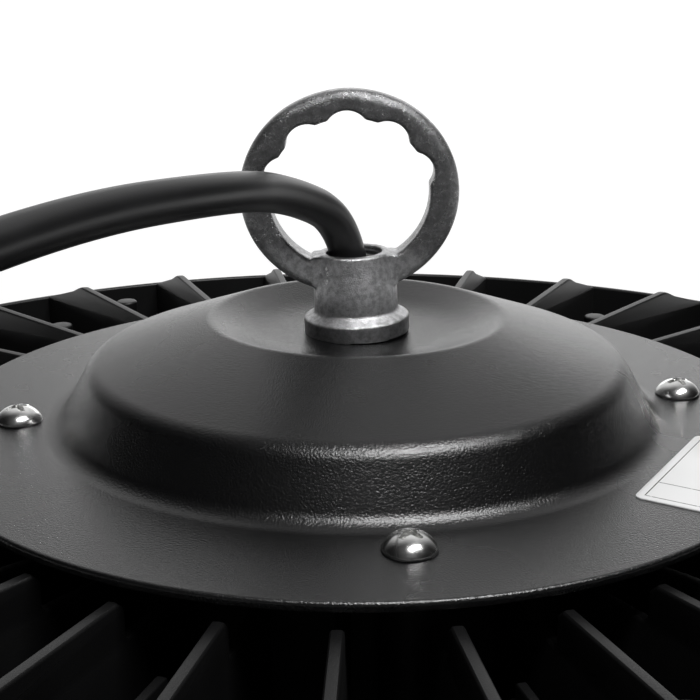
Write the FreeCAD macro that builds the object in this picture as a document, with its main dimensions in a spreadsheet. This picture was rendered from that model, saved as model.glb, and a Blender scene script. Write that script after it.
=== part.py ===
"""High bay light: a round die-cast LED luminaire with a hanging ring and a mains lead.

Frame: millimetres, +Z up, origin at the middle of the bottom rim. The lamp shines down, -Z,
and the eye of the hanging ring lies in the XZ plane. Every size is a cell of the Dimensions
sheet, and each sub-part is bound to those cells.
"""

import FreeCAD, Part
import math
import os

import Sketcher
from FreeCAD import Placement, Rotation, Vector

DOC = FreeCAD.newDocument("high_bay_light")
SHEET = DOC.addObject("Spreadsheet::Sheet", "Dimensions")

# Driving dimensions: alias, value, what it is.
DIMENSIONS = [
    ("flange_top", 82.0, "height of the cover's flat flange above the bottom rim"),
    # Heat sink
    ("rim_radius", 178.0, "outside of the outer band"),
    ("rim_wall", 2.2, "outer band's wall"),
    ("rim_drop", 14.0, "band's top edge below the flange"),
    ("lip_height", 5.0, "lip below the lens ring's land"),
    ("lip_wall", 4.0, "lip's wall"),
    ("floor_thickness", 6.0, "floor that carries the LED board"),
    ("housing_bore", 62.5, "radius inside the wall round the driver"),
    ("housing_wall", 5.0, "that wall's thickness"),
    ("fin_count", 30, "radial fins"),
    ("fin_thickness", 2.1, "one fin"),
    ("fin_phase", 4.0, "angle of the first fin"),
    ("fin_drop", 4.7, "fin's top edge below the flange"),
    ("fin_start", 88.0, "radius where the fin rises to its full height"),
    ("fin_ledge_drop", 12.0, "fin's ledge under the cover, below the flange"),
    ("fin_corner", 1.6, "bevel at the fin's inner top corner"),
    ("crest_margin", 30.0, "from the outside of the band in to where the fin's top edge falls"),
    ("crest_drop", 5.6, "crest below the flange"),
    ("slope_margin", 22.0, "from there in to where the fall turns hollow"),
    ("slope_drop", 8.4, "that point below the flange"),
    ("crest_bend", 14.0, "radius of the rounded crest"),
    ("sweep_bend", 30.0, "radius of the hollow sweep to the band"),
    ("fin_root", 0.6, "how far a fin runs into the walls it is cast onto"),
    ("boss_diameter", 10.0, "cover screw boss"),
    ("post_diameter", 6.5, "ejector post between two fins"),
    ("rib_thickness", 3.0, "low rib between two fins"),
    ("rib_drop", 13.0, "low rib's top below the flange"),
    ("rib_inner", 92.0, "low rib's inner end"),
    ("rib_outer", 104.0, "low rib's outer end"),
    # Cover and its screws
    ("cover_radius", 90.0, "cover's flange"),
    ("cover_sheet", 1.8, "flange thickness"),
    ("cover_wall", 2.2, "dome's wall"),
    ("foot_radius", 62.8, "foot of the dome"),
    ("shoulder_radius", 58.6, "dome's shoulder"),
    ("shoulder_rise", 13.0, "shoulder above the flange"),
    ("ridge_radius", 31.5, "ridge round the dish"),
    ("ridge_rise", 22.4, "ridge above the flange"),
    ("dish_radius", 22.5, "flat floor of the dish"),
    ("dish_rise", 17.35, "that floor above the flange"),
    ("edge_round", 0.8, "flange's rounded edge"),
    ("foot_round", 3.0, "blend at the dome's foot"),
    ("shoulder_round", 4.0, "rounded shoulder"),
    ("ridge_round", 8.0, "rounded ridge"),
    ("dish_round", 5.0, "blend at the edge of the dish"),
    ("gasket_depth", 1.2, "cover gasket, as squeezed"),
    ("gasket_inset", 1.2, "gasket's distance from the wall's edges"),
    ("screw_circle", 71.7, "radius of the ring of cover screws"),
    ("screw_phase", 7.0, "angle of the first cover screw"),
    ("screw_head", 9.7, "M5 pan head"),
    ("screw_head_rise", 3.3, "pan head's height"),
    ("screw_shank", 5.0, "M5 thread"),
    ("screw_reach", 12.0, "shank below the flange"),
    ("thread_clearance", 0.1, "round a screw in its hole, on the radius"),
    ("screw_hole_clearance", 0.3, "round a screw in the sheet that it holds, on the radius"),
    # Hanging ring and what seals it
    ("ring_flange", 11.1, "radius of the ring's round foot"),
    ("ring_flange_depth", 3.0, "foot's cylindrical part"),
    ("ring_bevel", 1.3, "bright bevel on top of the foot"),
    ("stem_radius", 8.8, "lower stem"),
    ("stem_step", 10.5, "lower stem's top above the dish"),
    ("collar_radius", 7.4, "upper stem"),
    ("collar_step", 12.5, "where the upper stem starts, above the dish"),
    ("collar_rise", 17.2, "stem's top above the dish"),
    ("collar_round", 0.6, "rounded lip of the stem"),
    ("bore_radius", 5.8, "bore through stem and stud"),
    ("stud_radius", 7.9, "M16 stud below the foot"),
    ("stud_reach", 14.0, "stud's length below the foot"),
    ("stud_clearance", 0.4, "round the stud in cover and washer, on the radius"),
    ("eye_rise", 28.65, "middle of the eye above the dish"),
    ("eye_outer", 22.3, "outside of the eye"),
    ("eye_inner", 16.5, "inside of the eye"),
    ("eye_depth", 7.0, "thickness of the eye's bar"),
    ("eye_round", 2.6, "rounding along the outside of the bar"),
    ("eye_edge", 0.8, "rounding along the inside of the bar"),
    ("notch_radius", 3.5, "one scallop of the eye"),
    ("notch_reach", 15.5, "scallop's centre from the middle of the eye"),
    ("notch_count", 5, "scallops"),
    ("notch_sweep", 144.0, "angle from the first scallop to the last"),
    ("seal_groove", 1.0, "depth of the groove for the ring's seal"),
    ("seal_width", 1.6, "its width"),
    ("seal_inset", 0.5, "groove's distance from the foot's edge"),
    ("seal_clearance", 0.1, "round the seal in its groove"),
    ("washer_radius", 14.5, "washer under the cover"),
    ("washer_depth", 2.0, "its thickness"),
    ("nut_radius", 13.0, "lock nut over its corners"),
    ("nut_depth", 8.0, "lock nut's height"),
    # Cable and wires
    ("cable_diameter", 7.6, "sheath of the mains cable"),
    ("cable_clearance", 0.15, "round the cable in its grommet, on the radius"),
    ("grommet_collar", 8.0, "radius of the grommet's collar"),
    ("grommet_collar_depth", 2.0, "that collar's thickness"),
    ("grommet_plug", 4.0, "grommet's length inside the stud"),
    ("grommet_clearance", 0.1, "round the grommet in the bore"),
    ("core_diameter", 2.2, "one insulated core"),
    ("core_pitch", 1.5, "core's centre from the cable's centreline"),
    ("cable_start", 80.0, "height where the sheath ends inside"),
    ("ferrule_diameter", 2.9, "collar of an end ferrule"),
    ("ferrule_tip", 1.4, "crimped barrel of an end ferrule"),
    ("ferrule_collar", 6.0, "length of that collar"),
    ("ferrule_barrel", 8.0, "length of that barrel"),
    # Driver and connections inside the housing
    ("driver_length", 92.0, "LED driver along X"),
    ("driver_width", 54.0, "along Y"),
    ("driver_depth", 32.0, "its height"),
    ("driver_round", 2.5, "rounded edges of its case"),
    ("driver_ear", 9.0, "fixing ear at each end"),
    ("driver_ear_width", 18.0, "ear along Y"),
    ("driver_ear_depth", 2.0, "ear's thickness"),
    ("block_length", 27.0, "terminal block along X"),
    ("block_width", 16.0, "along Y"),
    ("block_height", 13.0, "its height"),
    ("block_near", 8.0, "its near face from the axis"),
    ("block_pitch", 9.0, "distance between its ways"),
    ("block_entry", 6.0, "wire entries above its foot"),
    ("entry_depth", 6.0, "depth of a wire entry"),
    ("entry_clearance", 0.2, "round a core in its entry, on the radius"),
    ("small_shank", 4.0, "M4 thread"),
    ("small_head", 7.4, "M4 pan head"),
    ("small_head_rise", 2.2, "its height"),
    ("small_reach", 5.0, "an M4 screw's length in the floor"),
    ("earth_place", 46.0, "earth screw from the axis, towards -Y"),
    ("lug_length", 16.0, "earth lug"),
    ("lug_barrel", 2.0, "radius of the lug's crimped barrel"),
    ("lug_crimp", 6.0, "length of that barrel"),
    ("lug_width", 8.0, "its width"),
    ("lug_depth", 1.0, "its thickness"),
    ("lead_diameter", 2.0, "one LED lead"),
    ("lead_gap", 4.4, "between the middles of the two leads"),
    ("lead_grommet_radius", 5.0, "hole in the floor for the leads' grommet"),
    ("lead_grommet_collar", 1.2, "that grommet's collar"),
    # Light source
    ("board_margin", 12.0, "from the lens plate's edge in to the LED board's"),
    ("board_thickness", 1.6, "its thickness"),
    ("board_gap", 3.0, "round it in its recess"),
    ("board_recess", 3.0, "recess above the lens seat"),
    ("chip_side", 5.0, "one LED package"),
    ("chip_depth", 0.7, "its height"),
    ("board_screw_circle", 45.0, "screws that hold the board"),
    ("board_screw_reach", 5.0, "their length past the board"),
    ("lens_margin", 26.0, "from the outside of the band in to the lens plate's edge"),
    ("lens_gap", 1.0, "round the lens in its seat"),
    ("lens_thickness", 3.2, "lens plate's thickness"),
    ("lens_gasket_depth", 0.8, "lens gasket, as squeezed"),
    ("lens_gasket_width", 5.0, "its width"),
    ("dome_pitch", 29.0, "between rings of lens domes"),
    ("dome_radius", 9.0, "foot of one lens dome"),
    ("dome_depth", 3.4, "its height"),
    ("lens_lap", 5.0, "how far the ring that holds the lens reaches over it"),
    ("lens_ring_depth", 2.2, "its thickness"),
    ("lens_ring_gap", 0.6, "between it and the lip"),
    ("lens_screw_margin", 12.0, "from the lens plate's edge out to the ring's screws"),
    ("lens_screw_count", 12, "their number"),
    ("lens_screw_reach", 9.0, "their length past the ring"),
    # Label
    ("label_length", 36.7, "label along the rim"),
    ("label_width", 15.0, "across the flange"),
    ("label_thickness", 0.25, "its thickness"),
    ("label_round", 1.5, "its rounded corners"),
    ("label_inner", 68.4, "its inner edge from the axis"),
    ("label_shift", -16.55, "its end from the radius that it is square to"),
    ("label_angle", -31.0, "direction of that radius"),
]

# Ejector posts: angle of the gap between two fins, radius, top below the flange.
POSTS = [
    (58.0, 134.0, 10.0),
    (70.0, 132.0, 10.5),
    (118.0, 131.0, 10.0),
    (130.0, 131.0, 10.5),
    (58.0, 156.0, 13.0),
    (70.0, 157.0, 13.0),
    (118.0, 155.0, 13.0),
    (130.0, 156.0, 13.0),
    (238.0, 108.0, 15.0),
    (286.0, 95.0, 17.0),
    (298.0, 108.0, 15.0),
    (10.0, 132.0, 10.5),
    (178.0, 132.0, 10.5),
    (190.0, 156.0, 13.0),
    (358.0, 156.0, 13.0),
]
# Low ribs: angle of the gap between two fins.
LOW_RIBS = [250.0, 286.0]
# Rings of LEDs: how many pitches from the axis, and how many LEDs.
LED_RINGS = [(1, 6), (2, 12), (3, 18), (4, 24)]


class Size:
    """A length together with the sheet formula that it comes from."""

    def __init__(self, value, formula):
        self.value = float(value)
        self.formula = formula

    @staticmethod
    def of(number):
        return number if isinstance(number, Size) else Size(number, repr(float(number)))

    def __add__(self, other):
        other = Size.of(other)
        return Size(self.value + other.value, f"({self.formula} + {other.formula})")

    def __sub__(self, other):
        other = Size.of(other)
        return Size(self.value - other.value, f"({self.formula} - {other.formula})")

    def __mul__(self, other):
        other = Size.of(other)
        return Size(self.value * other.value, f"({self.formula} * {other.formula})")

    def __truediv__(self, other):
        other = Size.of(other)
        return Size(self.value / other.value, f"({self.formula} / {other.formula})")

    __rmul__ = __mul__


def fill_sheet():
    """Write the driving dimensions and return them as named sizes."""
    sizes = {}
    for row, (alias, value, meaning) in enumerate(DIMENSIONS, start=1):
        SHEET.set(f"A{row}", meaning)
        SHEET.set(f"B{row}", str(value))
        SHEET.setAlias(f"B{row}", alias)
        sizes[alias] = Size(value, f"{SHEET.Name}.{alias}")
    DOC.recompute()
    return sizes


S = fill_sheet()
ZERO = Size(0.0, "0.0")
FULL_TURN = 360.0

# Heights and radii that several pieces share.
crest_radius = S["rim_radius"] - S["crest_margin"]
slope_radius = S["rim_radius"] - S["slope_margin"]
lens_radius = S["rim_radius"] - S["lens_margin"]
lens_ring_inner = lens_radius - S["lens_lap"]
lens_screw_circle = lens_radius + S["lens_screw_margin"]
board_radius = lens_radius - S["board_margin"]
fin_top = S["flange_top"] - S["fin_drop"]
land = S["lip_height"]
lens_seat = land + S["lens_thickness"] + S["lens_gasket_depth"]
floor_under = lens_seat + S["board_recess"]
floor_top = floor_under + S["floor_thickness"]
cover_under = S["flange_top"] - S["cover_sheet"]
wall_top = cover_under - S["gasket_depth"]
wall_outer = S["housing_bore"] + S["housing_wall"]
dish_top = S["flange_top"] + S["dish_rise"]
dish_under = dish_top - S["cover_wall"]
stud_end = dish_top - S["stud_reach"]
stud_hole = S["stud_radius"] + S["stud_clearance"]
eye_middle = dish_top + S["eye_rise"]
washer_under = dish_under - S["washer_depth"]
driver_top = floor_top + S["driver_depth"]
entry_height = driver_top + S["block_entry"]
board_under = floor_under - S["board_thickness"]
core_radius = S["core_diameter"] / 2
cable_radius = S["cable_diameter"] / 2
lug_end = (S["lug_length"] - S["lug_width"] / 2) * -1
lug_line = S["earth_place"] * -1
barrel_height = floor_top + S["lug_barrel"] + 0.3


# ---------------------------------------------------------------- sketching helpers


def new_body(name):
    body = DOC.addObject("PartDesign::Body", name)
    body.Label = name
    return body


def origin_feature(body, role):
    return next(f for f in body.Origin.OriginFeatures if f.Role == role)


def new_sketch(body, name, role, height=None):
    """A sketch on one of the body's own origin planes, raised along the plane's normal."""
    sketch = body.newObject("Sketcher::SketchObject", f"{body.Name}_{name}")
    sketch.AttachmentSupport = [(origin_feature(body, role), "")]
    sketch.MapMode = "FlatFace"
    if height is not None:
        sketch.AttachmentOffset = Placement(Vector(0, 0, height.value), Rotation())
        sketch.setExpression("AttachmentOffset.Base.z", height.formula)
    return sketch


def pin_point(sketch, geometry, end, x, y):
    """Hold one end or centre of a sketch line at two sizes from the sketch's origin."""
    for kind, axis, size in (("DistanceX", -2, x), ("DistanceY", -1, y)):
        if size.value == 0.0:
            sketch.addConstraint(Sketcher.Constraint("PointOnObject", geometry, end, axis))
        else:
            index = sketch.addConstraint(
                Sketcher.Constraint(kind, -1, 1, geometry, end, size.value)
            )
            sketch.setExpression(f"Constraints[{index}]", size.formula)


def arc_between(start, end, radius, left):
    """The short arc of a radius from start to end, bulging to the left of the way or to the right."""
    chord = end - start
    half = chord.Length / 2
    sagitta = radius - math.sqrt(max(radius * radius - half * half, 0.0))
    side = Vector(-chord.y, chord.x, 0).normalize() * (sagitta if left else -sagitta)
    return Part.Arc(start, (start + end) / 2 + side, end)


def outline(sketch, corners):
    """A closed outline. A corner is (x, y), or (x, y, radius, side) where an arc leads on from it."""
    corners = [tuple(Size.of(c) if not isinstance(c, str) else c for c in row) for row in corners]
    places = [Vector(row[0].value, row[1].value, 0) for row in corners]
    starts, ends = [], []
    for index, row in enumerate(corners):
        here, there = places[index], places[(index + 1) % len(places)]
        if len(row) == 2:
            geometry = sketch.addGeometry(Part.LineSegment(here, there), False)
            starts.append((geometry, 1))
            ends.append((geometry, 2))
            continue
        left = row[3] == "left"
        geometry = sketch.addGeometry(arc_between(here, there, row[2].value, left), False)
        # A sketch's arcs run anticlockwise, so one that bulges to the left is stored backwards.
        starts.append((geometry, 2 if left else 1))
        ends.append((geometry, 1 if left else 2))
        radius = sketch.addConstraint(Sketcher.Constraint("Radius", geometry, row[2].value))
        sketch.setExpression(f"Constraints[{radius}]", row[2].formula)
    for index, row in enumerate(corners):
        before = ends[index - 1]
        sketch.addConstraint(Sketcher.Constraint("Coincident", *before, *starts[index]))
        pin_point(sketch, *starts[index], row[0], row[1])


def circle(sketch, x, y, radius):
    """A circle in a sketch with its centre and radius bound to sizes."""
    x, y, radius = Size.of(x), Size.of(y), Size.of(radius)
    shape = Part.Circle(Vector(x.value, y.value, 0), Vector(0, 0, 1), radius.value)
    geometry = sketch.addGeometry(shape, False)
    pin_point(sketch, geometry, 3, x, y)
    index = sketch.addConstraint(Sketcher.Constraint("Radius", geometry, radius.value))
    sketch.setExpression(f"Constraints[{index}]", radius.formula)


def upright_axis(sketch, x):
    """A construction line along the sketch's Y direction at x, to turn a profile about."""
    x = Size.of(x)
    line = Part.LineSegment(Vector(x.value, 0, 0), Vector(x.value, 10, 0))
    geometry = sketch.addGeometry(line, True)
    sketch.addConstraint(Sketcher.Constraint("Vertical", geometry))
    pin_point(sketch, geometry, 1, x, ZERO)
    sketch.addConstraint(Sketcher.Constraint("DistanceY", geometry, 1, geometry, 2, 10.0))


def turned(body, name, corners, cut=False, axis_at=None):
    """Turn an outline in the XZ plane about the body's Z axis, or about a line parallel to it."""
    sketch = new_sketch(body, f"{name}_profile", "XZ_Plane")
    outline(sketch, corners)
    kind = "PartDesign::Groove" if cut else "PartDesign::Revolution"
    feature = body.newObject(kind, f"{body.Name}_{name}")
    feature.Profile = sketch
    if axis_at is None:
        feature.ReferenceAxis = (sketch, ["V_Axis"])
    else:
        upright_axis(sketch, axis_at)
        feature.ReferenceAxis = (sketch, ["Axis0"])
    feature.Angle = FULL_TURN
    DOC.recompute()
    return feature


def padded(body, name, sketch, length, symmetric=False):
    """Pad a sketch by a size."""
    pad = body.newObject("PartDesign::Pad", f"{body.Name}_{name}")
    pad.Profile = sketch
    pad.Length = length.value
    pad.setExpression("Length", length.formula)
    pad.Midplane = symmetric
    DOC.recompute()
    return pad


def pocketed(body, name, sketch, depth, downwards=True):
    """Cut a sketch into the body, and refuse a cut that removes nothing."""
    before = body.Shape.Volume
    pocket = body.newObject("PartDesign::Pocket", f"{body.Name}_{name}")
    pocket.Profile = sketch
    pocket.Length = depth.value
    pocket.setExpression("Length", depth.formula)
    pocket.Reversed = not downwards
    DOC.recompute()
    if not body.Shape.Volume < before - 1e-3:
        raise RuntimeError(f"{pocket.Name} cuts nothing")
    return pocket


def patterned(body, name, features, count, axis=None, sweep=None):
    """Repeat features about the body's Z axis, or about another axis."""
    pattern = body.newObject("PartDesign::PolarPattern", f"{body.Name}_{name}")
    pattern.Originals = features
    pattern.Axis = axis or (origin_feature(body, "Z_Axis"), [""])
    pattern.Angle = FULL_TURN if sweep is None else sweep.value
    if sweep is not None:
        pattern.setExpression("Angle", sweep.formula)
    count = Size.of(count)
    pattern.Occurrences = int(count.value)
    pattern.setExpression("Occurrences", count.formula)
    body.Tip = pattern
    DOC.recompute()
    return pattern


def round_edges(body, name, radius, wanted):
    """Fillet every edge of the body that wanted(edge) accepts."""
    base = body.Tip
    edges = [f"Edge{i}" for i, edge in enumerate(base.Shape.Edges, start=1) if wanted(edge)]
    if not edges:
        raise RuntimeError(f"{body.Name} has no edge for {name}")
    fillet = body.newObject("PartDesign::Fillet", f"{body.Name}_{name}")
    fillet.Base = (base, edges)
    fillet.Radius = radius.value
    fillet.setExpression("Radius", radius.formula)
    body.Tip = fillet
    DOC.recompute()
    return fillet


def ring_edge(radius, height):
    """A test for the full circle of that radius and height about the Z axis."""

    def wanted(edge):
        curve = edge.Curve
        return (
            isinstance(curve, Part.Circle)
            and abs(curve.Radius - radius.value) < 1e-3
            and abs(curve.Center.z - height.value) < 1e-3
            and math.hypot(curve.Center.x, curve.Center.y) < 1e-3
        )

    return wanted


def turn_body(body, angle):
    """Turn a finished body about Z by an angle of the sheet."""
    body.Placement = Placement(Vector(), Rotation(Vector(0, 0, 1), angle.value))
    body.setExpression("Placement.Rotation.Angle", angle.formula)


def screw_profile(head_under, head_radius, head_rise, shank_radius, shank_end, place):
    """Half the outline of a pan-head screw that stands at a radius, head up or head down."""
    side = "right" if head_rise.value > 0 else "left"
    crown = head_rise * 0.45
    flat = head_radius * 0.4
    return [
        (place, shank_end),
        (place + shank_radius, shank_end),
        (place + shank_radius, head_under),
        (place + head_radius, head_under),
        (place + head_radius, head_under + crown, head_radius * 0.75, side),
        (place + flat, head_under + head_rise),
        (place, head_under + head_rise),
    ]


# ---------------------------------------------------------------- heat sink


def make_heat_sink():
    body = new_body("heat_sink")
    lens_bore = lens_radius + S["lens_gap"]
    board_bore = board_radius + S["board_gap"]
    band_inner = S["rim_radius"] - S["rim_wall"]
    lip_inner = S["rim_radius"] - S["lip_wall"]
    band_top = S["flange_top"] - S["rim_drop"]
    turned(
        body,
        "casting",
        [
            (ZERO, floor_under),
            (board_bore, floor_under),
            (board_bore, lens_seat),
            (lens_bore, lens_seat),
            (lens_bore, land),
            (lip_inner, land),
            (lip_inner, ZERO),
            (S["rim_radius"], ZERO),
            (S["rim_radius"], band_top),
            (band_inner, band_top),
            (band_inner, floor_top),
            (wall_outer, floor_top),
            (wall_outer, wall_top),
            (S["housing_bore"], wall_top),
            (S["housing_bore"], floor_top),
            (ZERO, floor_top),
        ],
    )
    add_fins(body, band_inner, band_top)
    add_cover_bosses(body)
    add_posts_and_ribs(body)
    drill_floor(body)
    turn_body(body, S["fin_phase"])
    return body


def add_fins(body, band_inner, band_top):
    """One fin with a rounded crest and a hollow sweep down to the band, then all of them."""
    root = wall_outer - S["fin_root"]
    tail = band_inner + S["fin_root"]
    foot = floor_top - S["fin_root"]
    sketch = new_sketch(body, "fin_profile", "XZ_Plane")
    outline(
        sketch,
        [
            (root, foot),
            (tail, foot),
            (tail, band_top, S["sweep_bend"], "right"),
            (slope_radius, S["flange_top"] - S["slope_drop"], S["crest_bend"], "right_back"),
            (crest_radius, S["flange_top"] - S["crest_drop"]),
            (S["fin_start"] + S["fin_corner"], fin_top),
            (S["fin_start"], fin_top - S["fin_corner"]),
            (S["fin_start"], S["flange_top"] - S["fin_ledge_drop"]),
            (root, S["flange_top"] - S["fin_ledge_drop"]),
        ],
    )
    fin = padded(body, "fin", sketch, S["fin_thickness"], symmetric=True)
    patterned(body, "fins", [fin], S["fin_count"])


def add_cover_bosses(body):
    """Four bosses beside the housing wall, each with a tapped hole for a cover screw."""
    lead = S["screw_phase"] - S["fin_phase"]
    sketch = new_sketch(body, "boss_circle", "XY_Plane", floor_top - S["fin_root"])
    sketch.AttachmentOffset = Placement(
        sketch.AttachmentOffset.Base, Rotation(Vector(0, 0, 1), lead.value)
    )
    circle(sketch, S["screw_circle"], ZERO, S["boss_diameter"] / 2)
    rise = cover_under - (floor_top - S["fin_root"])
    boss = padded(body, "boss", sketch, rise)
    patterned(body, "bosses", [boss], 4)
    hole = new_sketch(body, "boss_hole_circle", "XY_Plane", cover_under)
    hole.AttachmentOffset = Placement(
        hole.AttachmentOffset.Base, Rotation(Vector(0, 0, 1), lead.value)
    )
    circle(hole, S["screw_circle"], ZERO, S["screw_shank"] / 2 + S["thread_clearance"])
    drilled = pocketed(body, "boss_hole", hole, S["screw_reach"] + 1.0)
    patterned(body, "boss_holes", [drilled], 4)


def add_posts_and_ribs(body):
    """Round ejector posts and low ribs that stand in some of the gaps between the fins."""
    foot = floor_top - S["fin_root"]
    for number, (angle, radius, drop) in enumerate(POSTS):
        sketch = new_sketch(body, f"post_circle{number}", "XY_Plane", foot)
        turn = Rotation(Vector(0, 0, 1), angle - S["fin_phase"].value)
        sketch.AttachmentOffset = Placement(sketch.AttachmentOffset.Base, turn)
        circle(sketch, radius, ZERO, S["post_diameter"] / 2)
        padded(body, f"post{number}", sketch, S["flange_top"] - drop - foot)
    half = S["rib_thickness"] / 2
    for number, angle in enumerate(LOW_RIBS):
        sketch = new_sketch(body, f"rib_outline{number}", "XZ_Plane")
        turn = Rotation(Vector(0, 1, 0), angle - S["fin_phase"].value)
        sketch.AttachmentOffset = Placement(Vector(), turn)
        top = S["flange_top"] - S["rib_drop"]
        corners = [
            (S["rib_inner"], foot),
            (S["rib_outer"], foot),
            (S["rib_outer"], top),
            (S["rib_inner"], top),
        ]
        outline(sketch, corners)
        padded(body, f"rib{number}", sketch, half * 2, symmetric=True)


def drill_floor(body):
    """Holes in the floor: driver screws, earth screw, board screws and the LED leads."""
    turn = Rotation(Vector(0, 0, 1), 0 - S["fin_phase"].value)
    tapped = S["small_shank"] / 2 + S["thread_clearance"]
    top = new_sketch(body, "tapped_circles", "XY_Plane", floor_top)
    top.AttachmentOffset = Placement(top.AttachmentOffset.Base, turn)
    ear = ear_hole_place()
    for x, y in ((ear, ZERO), (ear * -1, ZERO), (ZERO, S["earth_place"] * -1)):
        circle(top, x, y, tapped)
    pocketed(body, "tapped_holes", top, S["small_reach"] + 0.5)
    leads = new_sketch(body, "lead_hole_circle", "XY_Plane", floor_top)
    leads.AttachmentOffset = Placement(leads.AttachmentOffset.Base, turn)
    circle(leads, ZERO, lead_grommet_place(), S["lead_grommet_radius"])
    pocketed(body, "lead_hole", leads, S["floor_thickness"] + 1.0)
    board = new_sketch(body, "board_screw_circle", "XY_Plane", floor_under)
    board.AttachmentOffset = Placement(board.AttachmentOffset.Base, turn)
    circle(board, S["board_screw_circle"], ZERO, tapped)
    drilled = pocketed(body, "board_screw_hole", board, S["board_screw_reach"] + 0.5, downwards=False)
    patterned(body, "board_screw_holes", [drilled], 6)
    ring = new_sketch(body, "lens_screw_circle", "XY_Plane", land)
    ring.AttachmentOffset = Placement(ring.AttachmentOffset.Base, turn)
    circle(ring, lens_screw_circle, ZERO, tapped)
    drilled = pocketed(body, "lens_screw_hole", ring, S["lens_screw_reach"] + 0.5, downwards=False)
    patterned(body, "lens_screw_holes", [drilled], S["lens_screw_count"])


def ear_hole_place():
    return S["driver_length"] / 2 + S["driver_ear"] / 2


def lead_grommet_place():
    return S["driver_width"] / 2 + 10.0


# ---------------------------------------------------------------- cover


def make_driver_cover():
    body = new_body("driver_cover")
    wall = S["cover_wall"]
    ridge = S["flange_top"] + S["ridge_rise"]
    shoulder = S["flange_top"] + S["shoulder_rise"]
    turned(
        body,
        "dome",
        [
            (stud_hole, dish_under),
            (S["dish_radius"] + wall * 0.6, dish_under),
            (S["ridge_radius"], ridge - wall * 1.15),
            (S["shoulder_radius"] - wall * 0.75, shoulder - wall * 0.8),
            (S["foot_radius"] - wall, cover_under),
            (S["cover_radius"], cover_under),
            (S["cover_radius"], S["flange_top"]),
            (S["foot_radius"], S["flange_top"]),
            (S["shoulder_radius"], shoulder),
            (S["ridge_radius"], ridge),
            (S["dish_radius"], dish_top),
            (stud_hole, dish_top),
        ],
    )
    round_edges(body, "foot_blend", S["foot_round"], ring_edge(S["foot_radius"], S["flange_top"]))
    round_edges(body, "shoulder", S["shoulder_round"], ring_edge(S["shoulder_radius"], shoulder))
    round_edges(body, "ridge", S["ridge_round"], ring_edge(S["ridge_radius"], ridge))
    round_edges(body, "dish_blend", S["dish_round"], ring_edge(S["dish_radius"], dish_top))
    round_edges(body, "edge", S["edge_round"], ring_edge(S["cover_radius"], S["flange_top"]))
    hole = new_sketch(body, "screw_circle", "XY_Plane", S["flange_top"])
    circle(hole, S["screw_circle"], ZERO, S["screw_shank"] / 2 + S["screw_hole_clearance"])
    drilled = pocketed(body, "screw_hole", hole, S["cover_sheet"] + 1.0)
    patterned(body, "screw_holes", [drilled], 4)
    turn_body(body, S["screw_phase"])
    return body


def make_cover_gasket():
    body = new_body("cover_gasket")
    inner = S["housing_bore"] + S["gasket_inset"]
    outer = wall_outer - S["gasket_inset"]
    turned(
        body,
        "band",
        [(inner, wall_top), (outer, wall_top), (outer, cover_under), (inner, cover_under)],
    )
    return body


def make_cover_screws():
    body = new_body("cover_screws")
    profile = screw_profile(
        S["flange_top"],
        S["screw_head"] / 2,
        S["screw_head_rise"],
        S["screw_shank"] / 2,
        S["flange_top"] - S["screw_reach"],
        S["screw_circle"],
    )
    screw = turned(body, "screw", profile, axis_at=S["screw_circle"])
    patterned(body, "set", [screw], 4)
    turn_body(body, S["screw_phase"])
    return body


# ---------------------------------------------------------------- hanging ring


def make_hanging_ring():
    """The eye first, with its scallops and rounded bar, then foot, stem and stud, then the bore."""
    body = new_body("hanging_ring")
    eye = new_sketch(body, "eye_outline", "XZ_Plane")
    circle(eye, ZERO, eye_middle, S["eye_outer"])
    circle(eye, ZERO, eye_middle, S["eye_inner"])
    padded(body, "eye", eye, S["eye_depth"], symmetric=True)
    bar = S["eye_outer"]

    def outside(edge):
        return isinstance(edge.Curve, Part.Circle) and abs(edge.Curve.Radius - bar.value) < 1e-3

    round_edges(body, "bar_round", S["eye_round"], outside)
    notch = new_sketch(body, "notch_circle", "XZ_Plane")
    notch.AttachmentOffset = Placement(
        Vector(0, eye_middle.value, 0), Rotation(Vector(0, 0, 1), 90.0 - S["notch_sweep"].value / 2)
    )
    notch.setExpression("AttachmentOffset.Base.y", eye_middle.formula)
    circle(notch, S["notch_reach"], ZERO, S["notch_radius"])
    cut = body.newObject("PartDesign::Pocket", "hanging_ring_notch")
    cut.Profile = notch
    cut.Type = "ThroughAll"
    cut.Midplane = True
    DOC.recompute()
    patterned(
        body, "notches", [cut], S["notch_count"], axis=(notch, ["N_Axis"]), sweep=S["notch_sweep"]
    )

    def inside(edge):
        box = edge.BoundBox
        flat = box.YLength < 1e-3 and abs(abs(box.YMin) - S["eye_depth"].value / 2) < 1e-3
        middle = Vector(0, box.YMin, eye_middle.value)
        reach = max(v.Point.distanceToPoint(middle) for v in edge.Vertexes)
        return flat and reach < bar.value - S["eye_round"].value - 0.2

    round_edges(body, "notch_edges", S["eye_edge"], inside)
    add_stem(body)
    return body


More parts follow.
